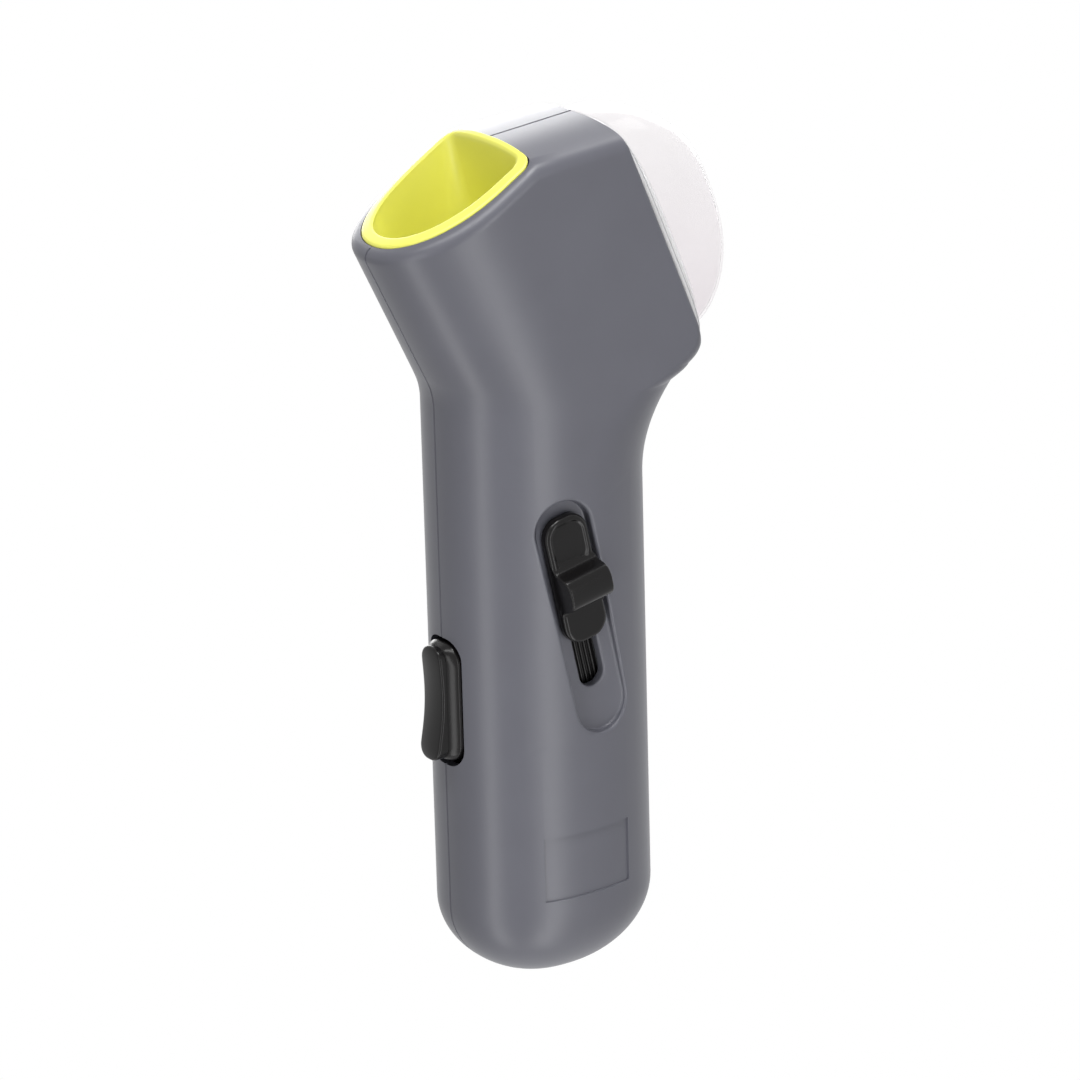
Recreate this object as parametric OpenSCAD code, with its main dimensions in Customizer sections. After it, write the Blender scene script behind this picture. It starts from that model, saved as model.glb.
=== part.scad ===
// Hand-held treat launcher: two moulded shells round a spring plunger, a feed tube and a hopper.
// The thumb slider pulls the plunger down, the trigger lets it go, and treats leave by the mouth.
// +Z runs up the handle from its butt end, -Y is the muzzle side, +X is the thumb slider's side,
// and the two shells meet in the plane X = 0.

/* [Handle] */
// Handle size from front to back
handle_depth = 51.4; // [50:0.2:55]
// Handle size across the two shells
handle_width = 39; // [38:0.2:42]
// Power of the handle's rounded section, 2 being an ellipse
section_power = 2.2; // [2.1:0.05:2.5]
// Height of the rounded butt end
butt_round = 20; // [17:0.5:22]

/* [Head] */
// Height of the whole launcher, to the top of the hopper rim
overall_height = 200; // [198:0.5:206]
// Place of the rim's top edge behind the handle's middle
rim_top_y = 13; // [12:0.25:15]
// Lean of the rim plane from upright
rim_lean = 22.3; // [20:0.5:24]
// Place of the mouth's rear edge in front of the handle's middle
mouth_rear_y = -9; // [-10:0.25:-8]
// Rise of the top from the mouth's rear edge to the rim
top_rise = 2.2; // [1.5:0.1:3]
// Slope of the mouth
mouth_slope = 31.6; // [30:0.2:33]
// Lean of the muzzle's front wall from upright
muzzle_lean = 26; // [25:0.5:27.5]
// Drop from the top to where the handle's front turns into the muzzle
neck_drop = 57.8; // [56:0.2:59]
// Radius of that turn
neck_round = 15; // [8:1:20]
// Drop from the top to where the handle's back turns out under the hopper
hopper_drop = 71; // [69:0.5:73]
// Lean of the hopper's underside from upright
hopper_lean = 33; // [31:0.5:35]
// Radius of the turn under the hopper
hopper_round = 40; // [30:1:45]
// Fall of the crowned top from the middle to the sides
crown = 3.4; // [2.5:0.1:4]
// Rounding of the top's outer edge
edge_round = 2.4; // [1.8:0.1:2.6]
// Rounding of the rim's lower corners
rim_corner = 10; // [8:0.25:11]
// Rounding of the edge under the rim
rim_round = 5; // [4:0.1:6]
// Rounding of the head's edge beside the rim
rim_edge = 1.2; // [0.8:0.1:1.6]

/* [Shell] */
// Wall of the shells
wall = 2.2; // [1.8:0.1:2.4]
// Clearance between pieces that slide past each other
slide_gap = 0.3; // [0.25:0.05:0.4]
// Clearance between pieces that stand still
seat_gap = 0.2; // [0.15:0.05:0.3]

/* [Slot track] */
// Drop from the top to the track's middle
track_drop = 110.5; // [108:0.5:113]
// Lean of the track and the plunger, top to the front
track_lean = 12; // [11:0.25:13]
// Length of the sunken track
track_len = 57.5; // [57:0.25:60]
// Width of the sunken track
track_w = 13.8; // [13.4:0.1:14.4]
// Depth of the track below the handle's side
track_depth = 2.5; // [2.3:0.1:2.8]
// Floor below the track
track_floor = 2.2; // [1.8:0.1:2.4]
// Margin of thick wall round the track
track_margin = 2.2; // [1.8:0.1:2.6]
// Width of the through slot
slot_w = 6.5; // [6:0.1:7]

/* [Thumb slider] */
// Length of the slider's plate
knob_len = 30.7; // [30:0.1:31.5]
// Width of the slider's plate
knob_w = 11.4; // [11:0.1:12]
// Thickness of the slider's plate
knob_t = 2.6; // [2.2:0.1:3]
// Free track above the slider at rest
knob_top_gap = 3.4; // [3:0.1:4]
// Free track below the slider when it is cocked
knob_low_gap = 1.4; // [1:0.1:2]
// Height of the cross ridge over the plate
ridge_h = 5.6; // [4.8:0.1:6]
// Length of the cross ridge along the slot
ridge_len = 10; // [9.4:0.1:10.4]
// Drop of the cross ridge's middle below the plate's
ridge_drop = 1.4; // [1.2:0.1:1.6]
// Length of the stem in the slot
stem_len = 9; // [8:0.25:10]

/* [Muzzle] */
// Outer width of the mouth liner
mouth_w = 33.4; // [33:0.1:34]
// Outer length of the mouth liner, seen from above
mouth_len = 31; // [30:0.1:31.3]
// Wall of the liner
liner_wall = 2; // [1.6:0.1:2.4]
// Height of the liner's rim over the shells
liner_proud = 0.4; // [0.2:0.1:0.8]

/* [Feed tube] */
// Bore radius of the feed tube
tube_r = 10.6; // [10.2:0.1:10.8]
// Wall of the feed tube
tube_wall = 1.2; // [1:0.1:1.3]
// Drop from the top to the tube's upper end
tube_drop = 40; // [39:0.25:41]
// Length of the feed tube
tube_len = 29; // [28:0.25:30]
// Width of the feed window
window_w = 17; // [15:0.5:18]
// Rise of the window's sill over the tube's lower end
window_sill = 5; // [4:0.25:6]
// Clearance between the feed tube and the front wall at the neck
tube_clear = 0.25; // [0.2:0.05:0.5]
// Slope of the hopper's floor
chute_slope = 19.5; // [18:0.5:20]
// Thickness of the hopper's floor
chute_t = 1.8; // [1.5:0.1:2]

/* [Plunger] */
// Length of the piston, from its rubber face to the skirt's end
piston_len = 23.5; // [23:0.25:24]
// Drop of the piston's face below the tube's upper end
face_drop = 2; // [1.5:0.25:3]
// Wall of the piston's skirt
skirt_wall = 1.5; // [1.2:0.1:1.8]
// Thickness of the rubber face
pad_t = 1.2; // [1:0.1:1.5]
// Radius of the plunger rod
rod_r = 3; // [2.5:0.1:3.2]
// Half side of the carriage's column
column_r = 6; // [5.5:0.1:6]
// Lower end of the carriage along the plunger axis
carriage_low = -12; // [-13:0.5:-11]
// Upper end of the carriage along the plunger axis
carriage_high = 30; // [29.5:0.5:31]
// Height of the catch below the carriage's upper end
catch_drop = 3; // [2.5:0.25:3.5]
// Thickness of the slide strip
strip_t = 1.4; // [1.2:0.1:1.6]
// Width of the slide strip
strip_w = 8.4; // [8:0.1:8.8]

/* [Springs] */
// Lower seat of the launch spring along the plunger axis
seat_t = -50; // [-51:0.5:-48]
// Mean coil radius of the launch spring
launch_r = 6; // [5.5:0.1:6.2]
// Wire of the launch spring
launch_wire = 1.2; // [1:0.1:1.4]
// Coils of the launch spring
launch_coils = 8.5; // [7:0.5:9]
// Mean coil radius of the trigger spring
trigger_spring_r = 2.3; // [2:0.1:2.8]
// Wire of the trigger spring
trigger_wire = 0.6; // [0.5:0.05:0.7]
// Coils of the trigger spring
trigger_coils = 5.5; // [4:0.5:6]

/* [Trigger] */
// Drop from the track's middle to the trigger's lower end
trigger_drop = 33.3; // [32.5:0.1:34]
// Height of the trigger
trigger_h = 28.2; // [27.5:0.1:28.6]
// Width of the trigger's block
trigger_w = 12; // [11:0.1:12.4]
// Width of the finger pad
pad_w = 7.8; // [7.4:0.1:8.4]
// Hollow of the finger pad
pad_dip = 1.1; // [0.7:0.1:1.5]
// Swell of the finger pad towards its heel
pad_heel = 1.6; // [1.2:0.1:2]
// Rounding of the trigger's corners
trigger_round = 4.8; // [4:0.1:5.4]
// Reach of the block in front of the handle
block_out = 1.6; // [1.2:0.1:2]
// Reach of the finger pad in front of the handle
pad_out = 4; // [3.5:0.1:4.6]
// Depth of the block behind the handle's front
block_in = 10.2; // [9.8:0.1:10.6]
// Travel of the trigger
trigger_turn = 8; // [6:0.5:8.5]
// Radius of the pivot pin
pin_r = 1.25; // [1:0.05:1.5]
// Length of the pivot pin
pin_len = 20; // [19:0.5:20.5]

/* [Dome] */
// Width of the dome at its foot
dome_w = 36; // [35:0.2:36.6]
// Length of the dome at its foot
dome_len = 56.6; // [56:0.2:57]
// Height of the dome over its flange
dome_h = 22.5; // [20:0.5:24]
// Wall of the dome
dome_wall = 1.6; // [1.4:0.1:2]
// Thickness of the dome's flange
flange_t = 1.2; // [1:0.1:1.5]
// Width of the flange past the dome's foot
flange_out = 0.4; // [0.3:0.1:0.6]
// Shift of the dome down the rim
dome_drop = 0.7; // [0.5:0.1:0.9]
// Width of the hopper opening in the rim
hopper_w = 30; // [28:0.5:31]
// Length of the hopper opening in the rim
hopper_len = 50; // [48:0.5:51]
// Depth of the dome's spigot in the opening
spigot = 2.2; // [1.8:0.1:2.6]

/* [Screws] */
// Radius of the shell screws
screw_r = 1.3; // [1.2:0.05:1.4]
// Radius of the shell screws' heads
screw_head_r = 2.7; // [2.4:0.1:2.8]
// Height of the shell screws' heads
screw_head_h = 1.8; // [1.5:0.1:2]
// Depth of the screw heads' seat from the joint
screw_seat = 6; // [5:0.25:6.5]
// Reach of the screws into the left shell
screw_reach = 7; // [6:0.25:7.5]
// Wall of the screw posts
post_wall = 1.1; // [0.9:0.1:1.2]

/* [Hidden] */
$fn = 48;

shell_grey = [0.43, 0.44, 0.46];
liner_lime = [0.9, 0.91, 0.3];
part_black = [0.1, 0.1, 0.1];
steel = [0.7, 0.7, 0.72];
tiny = 0.001;
over = 30;

half_d = handle_depth / 2;
half_w = handle_width / 2;
neck_z = overall_height - neck_drop;
hopper_z = overall_height - hopper_drop;
track_z = overall_height - track_drop;
track_y = wall + tube_clear - half_d + (tube_r + tube_wall) / cos(track_lean) + (neck_z - track_z) * tan(track_lean);
trigger_z = track_z - trigger_drop;
tube_high = (track_drop - tube_drop) / cos(track_lean);
tube_low = tube_high - tube_len;

function lerp(a, b, k) = a + (b - a) * k;
function ease(k) = k * k * (3 - 2 * k);
function cross2(a, b) = a[0] * b[1] - a[1] * b[0];
// Where the line through p along d meets the line through q along e
function meet(p, d, q, e) = p + d * cross2(q - p, e) / cross2(d, e);
// Half width of the handle's section at a place between front and back
function handle_x(y) = half_w * pow(1 - pow(abs(y) / half_d, section_power), 1 / section_power);

// Closed skin over a grid of points: rows run up, columns to the right as seen from outside
function quads(rows, cols, wrap) = [for (i = [0 : rows - 2], j = [0 : (wrap ? cols - 1 : cols - 2)])
    let (k = (j + 1) % cols) [i * cols + j, (i + 1) * cols + j, (i + 1) * cols + k, i * cols + k]];
function split(faces) = [for (f = faces) each [[f[0], f[1], f[2]], [f[0], f[2], f[3]]]];
function apart(p, q) = norm(p - q) > tiny;
function sound(points, faces) = [for (f = faces)
    if (apart(points[f[0]], points[f[1]]) && apart(points[f[1]], points[f[2]])
        && apart(points[f[2]], points[f[0]])) f];
function flat(rows) = [for (r = rows) each r];

module skin(rows) {
    points = flat(rows);
    polyhedron(points, sound(points, split(quads(len(rows), len(rows[0]), true))), convexity = 8);
}

// Rounded rectangle about a middle point, as an outline
function round_box(w, h, r, steps = 6) = [for (c = [0 : 3], k = [0 : steps])
    let (a = 90 * c + 90 * k / steps)
    [(c == 0 || c == 3 ? w / 2 - r : r - w / 2) + r * cos(a), (c < 2 ? h / 2 - r : r - h / 2) + r * sin(a)]];

// Side profile of the shells, in [y, z], drawn inwards by w
rim_top = [rim_top_y, overall_height];
mouth_rear = [mouth_rear_y, overall_height - top_rise];
front_dir = [-sin(muzzle_lean), cos(muzzle_lean)];
under_dir = [sin(hopper_lean), cos(hopper_lean)];
rim_dir = [sin(rim_lean), -cos(rim_lean)];
rim_out = [cos(rim_lean), sin(rim_lean)];
mouth_dir = [cos(mouth_slope), sin(mouth_slope)];
top_dir = rim_top - mouth_rear;

function front_foot(w) = [w - half_d, neck_z + w * tan(muzzle_lean / 2)];
function under_foot(w) = [half_d - w, hopper_z + w * tan(hopper_lean / 2)];
function neck_arc(w, a) = let (r = neck_round + w, f = front_foot(w))
    [f[0] - r + r * cos(a), f[1] - r * tan(muzzle_lean / 2) + r * sin(a)];
function under_arc(w, a) = let (r = hopper_round + w, f = under_foot(w))
    [f[0] + r - r * cos(a), f[1] - r * tan(hopper_lean / 2) + r * sin(a)];
function lip(w, drop) = meet(front_foot(w), front_dir, mouth_rear - [0, drop], mouth_dir);
function rim_high(w, drop) = meet(rim_top - w * rim_out, rim_dir, rim_top - [0, drop], top_dir);
function rim_low(w) = meet(under_foot(w), under_dir, rim_top - w * rim_out, rim_dir);
function top_z(y) = mouth_rear[1] + (y - mouth_rear[0])
    * (y < mouth_rear[0] ? tan(mouth_slope) : top_dir[1] / top_dir[0]);

// Cross sections of the shells from the butt up: front point, back point, half width,
// squareness of the back from 0 in the handle to 2 at the rim, and share of the top's bend
butt_rows = 8;
turn_rows = 4;
rim_foot = 0.04;
rim_rows = [0.125, 0.3, 0.5, 0.7, 0.85, 1];
edge_rows = 3;
// The turn from the hopper's underside into the rim, from k = 0 to k = 1
turn_reach = rim_round * tan((hopper_lean + rim_lean) / 2);
function rim_arc(w, k) = let (r = rim_round - w, a = lerp(90 - hopper_lean, 90 + rim_lean, k),
                              foot = rim_low(w) - r * tan((hopper_lean + rim_lean) / 2) * under_dir)
    foot + r * ([sin(a), -cos(a)] - [cos(hopper_lean), -sin(hopper_lean)]);
function butt_sections(w) = [for (k = [0 : butt_rows])
    let (a = 90 * k / butt_rows, y = (half_d - w) * sin(a), z = butt_round - (butt_round - w) * cos(a))
    [[-y, z], [y, z], (half_w - w) * sin(a), 0, 0]];
function shoulder_sections(w) = [for (k = [0 : 2 * turn_rows])
    let (q = k / turn_rows, foot = [front_foot(w)[0], under_arc(w, 0)[1]])
    [q <= 1 ? lerp(foot, neck_arc(w, 0), q) : neck_arc(w, muzzle_lean * (q - 1)),
     q <= 1 ? under_arc(w, hopper_lean * q) : lerp(under_arc(w, hopper_lean), rim_arc(w, 0), q - 1),
     half_w - w, ease(q / 2), 0]];
function corner_share(rise) = rise >= rim_corner ? 1
    : sqrt(1 - pow(1 - rise / rim_corner, 2));
function turn_sections(w) = [for (k = [0.5, 1])
    [lerp(neck_arc(w, muzzle_lean), lip(w, w + edge_round), rim_foot * k), rim_arc(w, k),
     half_w - w, 1 + corner_share(turn_reach * k * k), rim_foot * k]];
function head_sections(w) = [for (q = rim_rows)
    let (low = rim_arc(w, 1), high = rim_high(w, w + edge_round), k = (q - rim_foot) / (1 - rim_foot))
    [lerp(neck_arc(w, muzzle_lean), lip(w, w + edge_round), q), lerp(low, high, k),
     half_w - w, 1 + corner_share(turn_reach + k * norm(high - low)), q]];
function edge_sections(w) = [for (k = [1 : edge_rows])
    let (a = 90 * k / edge_rows, drop = w + edge_round * (1 - sin(a)), in = edge_round * (1 - cos(a)),
         front = lip(w, drop))
    [front + in * mouth_dir, rim_high(w, drop), half_w - w - in, 2, 1]];

// Half outline of one section, from the front seam round the +X side to the back seam
front_steps = 12;
back_steps = 10;
seam_flat = 0.4;
under_corner = 10;
function back_shape(half, square, depth) = square <= 1
    ? lerp([seam_flat * depth / half_d, depth - seam_flat], [half - rim_corner, under_corner], square)
    : lerp([half - rim_corner, under_corner], [half - rim_edge, rim_edge], square - 1);
function half_outline(s, w) =
    let (scale_in = s[2] / (half_w - w), depth = (half_d - w) * scale_in, p = 2 / section_power,
         back = s[2] < tiny ? [0, 0] : back_shape(s[2], s[3], depth))
    concat([for (i = [0 : front_steps]) let (a = 90 * i / front_steps)
                [s[2] * pow(sin(a), p), s[0][0] + depth * (1 - pow(cos(a), p)), 0]],
           [[s[2], lerp(lerp(s[0][0] + depth, s[1][0] - back[1], 0.3), mouth_rear[0], s[4]), 0]],
           [for (i = [0 : back_steps]) let (a = 90 * i / back_steps)
                [back[0] + (s[2] - back[0]) * pow(cos(a), p), s[1][0] - back[1] + back[1] * pow(sin(a), p), 1]],
           [[0, s[1][0], 1]]);
// The outline lifted to its place, with the crowned and bent top; squeeze narrows it towards X = 0
function shell_row(s, w, squeeze = 1) = [for (o = half_outline(s, w))
    let (x = o[0] * squeeze, y = o[1], span = max(s[1][0] - s[0][0], tiny), u = (y - s[0][0]) / span,
         bend = top_z(y) - lerp(top_z(s[0][0]), top_z(s[1][0]), u),
         fall = s[4] * crown * pow(x / half_w, 2.5))
    [x, y + o[2] * fall * tan(rim_lean), lerp(s[0][1], s[1][1], u) + s[4] * bend - fall]];
function shell_rows(w) = let (last = edge_sections(w)[edge_rows - 1])
    concat([for (s = concat(butt_sections(w), shoulder_sections(w), turn_sections(w), head_sections(w), edge_sections(w)))
                shell_row(s, w)],
           [for (squeeze = [0.55, 0]) shell_row(last, w, squeeze)]);

// One shell with its wall, on the +X side and closed along the seam
module half_shell() {
    outer = shell_rows(0);
    inner = shell_rows(wall);
    rows = len(outer);
    cols = len(outer[0]);
    back = cols - 1;
    shift = rows * cols;
    points = concat(flat(outer), flat(inner));
    outside = quads(rows, cols, false);
    inside = [for (f = outside) [for (k = [3 : -1 : 0]) f[k] + shift]];
    front_seam = [for (i = [0 : rows - 2]) let (a = i * cols, b = a + cols)
        [a + shift, b + shift, b, a]];
    back_seam = [for (i = [0 : rows - 2]) let (a = i * cols + back, b = a + cols)
        [a, b, b + shift, a + shift]];
    top_seam = [for (j = [0 : cols - 2]) let (a = (rows - 1) * cols + j)
        [a + 1 + shift, a + 1, a, a + shift]];
    polyhedron(points, sound(points, split(concat(outside, inside, front_seam, back_seam, top_seam))),
               convexity = 10);
}

// Frames: along the plunger, on the hopper rim, and sideways for prisms drawn in [y, z]
module on_axis() translate([0, track_y, track_z]) rotate([track_lean, 0, 0]) children();
module on_rim(shift = 0) {
    middle = (rim_high(0, 0) + rim_low(0)) / 2;
    translate([0, middle[0], middle[1]]) rotate([rim_lean - 90, 0, 0]) translate([0, shift, 0]) children();
}
module sideways(x0, x1) translate([x0, 0, 0]) rotate([90, 0, 90]) linear_extrude(x1 - x0) children();
module forwards(y0, y1) translate([0, y1, 0]) rotate([90, 0, 0]) linear_extrude(y1 - y0) children();
module cross_pin(y, z, r, x0, x1) translate([x0, y, z]) rotate([0, 90, 0]) cylinder(r = r, h = x1 - x0);
module span(x, y, z) translate([x[0], y[0], z[0]]) cube([x[1] - x[0], y[1] - y[0], z[1] - z[0]]);
module stadium(w, l) {
    square([w, l - w], center = true);
    for (s = [-1, 1]) translate([0, s * (l - w) / 2]) circle(d = w);
}

// Sizes along the plunger axis, at rest
travel = track_len - knob_len - knob_top_gap - knob_low_gap;
knob_mid = track_len / 2 - knob_top_gap - knob_len / 2;
stem_mid = knob_mid - 1;
slot_low = stem_mid - stem_len / 2 - travel - slide_gap;
slot_high = stem_mid + stem_len / 2 + slide_gap;
slot_mid = (slot_low + slot_high) / 2;
strip_lap = 1.5;
strip_low = slot_low - strip_lap;
strip_high = slot_high + travel + strip_lap;
face_t = tube_high - face_drop;
piston_low = face_t - piston_len;
catch_t = carriage_high - catch_drop;
hook_t = catch_t - travel + seat_gap;

// Sizes across the plunger axis
floor_x = half_w - track_depth;
inside_x = floor_x - track_floor;
strip_x = inside_x - slide_gap - strip_t;
knob_x = floor_x + slide_gap;
knob_rim = 1.2;
knob_dish = 0.5;
ridge_foot = 0.6;
pad_close = 1.4;
rail_t = 1.5;
rail_reach = 2.4;
rail_len = 52;
rail_x = inside_x - rail_reach;
shoe_w = 7.6;
arm_len = 12.5;
shoulder_w = 15;
shoulder_len = 6;
shoulder_x = rail_x - slide_gap - 0.1;
guide_x = strip_x;
pilot_r = screw_r - 0.2;
head_plate = 2.5;
head_socket = 6;
rod_seat = 10;
catch_w = 1.8;
slider_screw_r = 1.25;
slider_head_r = 2.4;
slider_head_h = 1.6;
slider_seat_x = 8.2;
slider_tip_x = 18;

// Stops for the carriage's shoulders, beside the piston's skirt
stop_t = 2.5;
stop_pad_t = 1.5;
stop_y = [strip_w / 2 + 2 * slide_gap, shoulder_w / 2];
stop_x = sqrt(pow(tube_r + tube_wall + slide_gap, 2) - pow(stop_y[0], 2));
stop_root = [1, 3];
stop_z = carriage_high + seat_gap + stop_pad_t;
pad_reach = 2.3;

// Seat of the launch spring, with the ledges under it, and the cradle beside the feed tube
seat_x = 12;
seat_front = 8;
seat_back = 7;
seat_plate = 2.5;
seat_post = 12;
seat_post_gap = 2;
ledge_t = 2;
ledge_lap = 2.5;
cradle_w = 8;
cradle_t = 3;
cradle_rise = 9;
cradle_skin = 15.5;

// Trigger places
pivot_in = 3;
pivot_drop = 3.7;
pivot = [block_in - half_d - pivot_in, trigger_z + trigger_h - pivot_drop];
block_back = block_in - half_d;
hook_w = 6;
hook_h = 3;
hook_tip = -column_r - slide_gap;
arm_y = [pivot[0] - 2, block_back + 1];
hook_root = ((arm_y[0] + arm_y[1]) / 2 - track_y + hook_t * sin(track_lean)) / cos(track_lean);
hook_z = track_z + hook_t * cos(track_lean) + hook_root * sin(track_lean);
arm_z = [min(pivot[1], hook_z), max(pivot[1], hook_z + hook_h * cos(track_lean))];
spring_rise = 5.5;
spring_z = trigger_z + spring_rise;
trigger_spring_len = 8.5;
spring_wall_y = block_back + trigger_spring_len;
spring_wall_t = 1.6;
spring_wall_h = 8;
trigger_room = 1.1;
mouth_cut = 7;
pin_boss_r = 3;
pin_boss_x = 6.5;
pin_hole_gap = 0.03;
pin_run_gap = 0.06;

// Screw posts: place in [y, z] and outer end of the post
post_r = screw_head_r + 0.3 + post_wall;
skin_cover = 0.4;
function butt_x(z) = half_w * sqrt(1 - pow(1 - z / butt_round, 2));
head_post_x = half_w - 2.5;
back_post_in = 7.2;
front_post_in = 5.8;
low_post_drop = 10.5;
mid_post_rise = 10.5;
hook_post_rise = 4;
top_post_back = 11;
top_post_drop = 10.5;
under_post_in = 1.5;
under_post_rise = 10.5;
under_post_x = head_post_x - 3.5;
function handle_post(y, z) = [y, z, handle_x(abs(y) + post_r) - skin_cover];
posts = [[0, butt_round / 2, butt_x(butt_round / 2 - post_r) - 2 * skin_cover],
         handle_post(front_post_in - half_d, trigger_z - low_post_drop),
         handle_post(half_d - back_post_in, track_z + mid_post_rise),
         handle_post(front_post_in - half_d, arm_z[1] + post_r + hook_post_rise + hook_h),
         [mouth_rear_y + top_post_back, overall_height - top_post_drop, head_post_x],
         [half_d - under_post_in, hopper_z + under_post_rise, under_post_x]];

// The mouth liner's outline seen from above, drawn inwards by w: columns match a circle's
liner_steps = 9;
liner_corner = 2.6;
function liner_half(w) = let (half = mouth_w / 2 - w, back = mouth_rear_y - w, front = back + 2 * w - mouth_len,
                              depth = mouth_len * 0.78 - w, p = 2 / section_power, r = liner_corner)
    concat([for (i = [0 : liner_steps]) let (a = 90 * i / liner_steps)
                [half * pow(sin(a), p), front + depth * (1 - pow(cos(a), p))]],
           [for (i = [0 : 4]) let (a = 22.5 * i) [half - r + r * cos(a), back - r + r * sin(a)]],
           [for (k = [0.62, 0.31]) [(half - r) * k, back]],
           [[0, back]]);
function both_sides(h) = concat(h, [for (i = [len(h) - 2 : -1 : 1]) [-h[i][0], h[i][1]]]);
function mouth_row(w, rise, along = 0) = [for (p = both_sides(liner_half(w)))
    [p[0], p[1] + along * front_dir[0],
     top_z(p[1]) - crown * pow(abs(p[0]) / half_w, 2.5) + rise + along * front_dir[1]]];
// Columns of a circle on the plunger axis that answer those of the mouth, and the two blended
liner_cols = len(both_sides(liner_half(0)));
function on_tube(r, t) = [for (j = [0 : liner_cols - 1]) let (a = 360 * j / liner_cols, x = r * sin(a), y = -r * cos(a))
    [x, track_y + y * cos(track_lean) - t * sin(track_lean), track_z + y * sin(track_lean) + t * cos(track_lean)]];
function between(a, b, k) = [for (j = [0 : len(a) - 1]) lerp(a[j], b[j], k)];
funnel_steps = 6;
function funnel_side(w, r) = [for (k = [0 : funnel_steps]) let (q = k / funnel_steps)
    between(on_tube(r, tube_high + seat_gap / 4), mouth_row(w, liner_proud), pow(q, 0.85))];

// Dome outlines on the rim: superellipse of half width a and half length b
dome_cols = 40;
dome_power = 3.2;
flange_power = 5;
dome_profile = 1.9;
dome_rows = 7;
function rim_row(a, b, power, z) = [for (j = [0 : dome_cols - 1])
    let (t = 360 * j / dome_cols, c = cos(t), s = sin(t))
    [a * sign(c) * pow(abs(c), 2 / power), b * sign(s) * pow(abs(s), 2 / power), z]];
function cap_rows(a, b, h, z) = [for (k = [0 : dome_rows]) let (t = 90 * k / dome_rows,
    r = pow(cos(t), 2 / dome_profile))
    rim_row(a * r, b * r, dome_power, z + h * pow(sin(t), 2 / dome_profile))];

// Helix of round wire as rows of a tube, with closed ends
wire_sides = 6;
turn_steps = 10;
function helix_point(r, pitch, a) = [r * cos(a), r * sin(a), pitch * a / 360];
function helix_ring(r, wire, pitch, a) = let (out = [cos(a), sin(a), 0],
    along = [-sin(a) * r, cos(a) * r, pitch / (2 * PI)], t = along / norm(along), side = cross(t, out))
    [for (j = [0 : wire_sides - 1]) let (b = 360 * j / wire_sides)
        helix_point(r, pitch, a) + wire / 2 * (out * cos(b) + side * sin(b))];
function helix_end(r, pitch, a) = [for (j = [0 : wire_sides - 1]) helix_point(r, pitch, a)];
module spring(r, wire, coils, length) {
    pitch = (length - wire - 2 * tiny) / coils;
    last = coils * turn_steps;
    echo(str("least gap between spring coils: ", pitch - wire));
    translate([0, 0, wire / 2 + tiny])
        skin(concat([helix_end(r, pitch, 0)],
                    [for (k = [0 : last]) helix_ring(r, wire, pitch, 360 * k / turn_steps)],
                    [helix_end(r, pitch, 360 * coils)]));
}

// What both shells carry inside, on the +X side
module shell_inside(guide_in) {
    for (p = posts) cross_pin(p[0], p[1], post_r, 0, p[2]);
    cross_pin(pivot[0], pivot[1], pin_boss_r, pin_boss_x, handle_x(abs(pivot[0]) + pin_boss_r) - skin_cover);
    span([0, handle_x(0) - wall / 2], [spring_wall_y, spring_wall_y + spring_wall_t],
         [spring_z - spring_wall_h / 2, spring_z + spring_wall_h / 2]);
    on_axis() {
        for (s = [-1, 1]) scale([1, s, 1])
            span([guide_in, half_w - 2], [guide_in == rail_x ? strip_w / 2 + slide_gap : shoe_w / 2 + slide_gap,
                  rail_t + (guide_in == rail_x ? strip_w / 2 : shoe_w / 2) + slide_gap], [-rail_len / 2, rail_len / 2]);
        span([stop_x, half_w - stop_root[0]], stop_y, [stop_z, stop_z + stop_t]);
        span([stop_x, half_w - stop_root[1]], [-stop_y[1], -stop_y[0]], [stop_z, stop_z + stop_t]);
        span([seat_x - ledge_lap, half_w - wall], [-seat_front, 0], [seat_t - seat_plate - ledge_t, seat_t - seat_plate]);
        span([tube_r + tube_wall + seat_gap, handle_x(cradle_skin) - skin_cover], [-cradle_w / 2, cradle_w / 2],
             [tube_low + cradle_rise, tube_low + cradle_rise + cradle_t]);
    }
}
// Openings that both shells share
module shell_openings() {
    forwards(-half_d - over, block_back - 2 * wall) translate([0, trigger_z + trigger_h / 2 - seat_gap])
        polygon(round_box(trigger_w + 2 * slide_gap, trigger_h + 2 * trigger_room, trigger_round));
    cross_pin(pivot[0], pivot[1], pin_r + pin_hole_gap, -pin_len / 2 - seat_gap, pin_len / 2 + seat_gap);
    skin(concat([mouth_middle(-mouth_cut)], [mouth_row(-seat_gap, 0, -mouth_cut)], [mouth_row(-seat_gap, 0, mouth_cut)],
                [mouth_middle(mouth_cut)]));
    on_rim(dome_drop) translate([0, 0, -wall - over / 4]) linear_extrude(over / 2)
        polygon([for (p = rim_row(hopper_w / 2, hopper_len / 2, flange_power, 0)) [p[0], p[1]]]);
}
function mouth_middle(along) = let (row = mouth_row(-seat_gap, 0, along), n = len(row),
                                    sum = [for (p = row) 1] * row / n) [for (p = row) sum];

module left_housing() color(shell_grey) difference() {
    union() {
        half_shell();
        shell_inside(rail_x);
        on_axis() sideways(inside_x, floor_x + 0.1)
            stadium(track_w + 2 * track_margin, track_len + 2 * track_margin);
    }
    shell_openings();
    on_axis() {
        sideways(floor_x, half_w + over) stadium(track_w, track_len);
        sideways(inside_x - over / 10, half_w) translate([0, slot_mid]) stadium(slot_w, slot_high - slot_low);
    }
    for (p = posts) cross_pin(p[0], p[1], pilot_r, -1, screw_reach + 1);
}

module right_housing() color(shell_grey) mirror([1, 0, 0]) difference() {
    union() {
        half_shell();
        shell_inside(guide_x - 1);
    }
    shell_openings();
    for (p = posts) {
        cross_pin(p[0], p[1], screw_r + seat_gap, -1, screw_seat + 1);
        cross_pin(p[0], p[1], screw_head_r + 0.3, screw_seat, half_w + over);
    }
}

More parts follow.
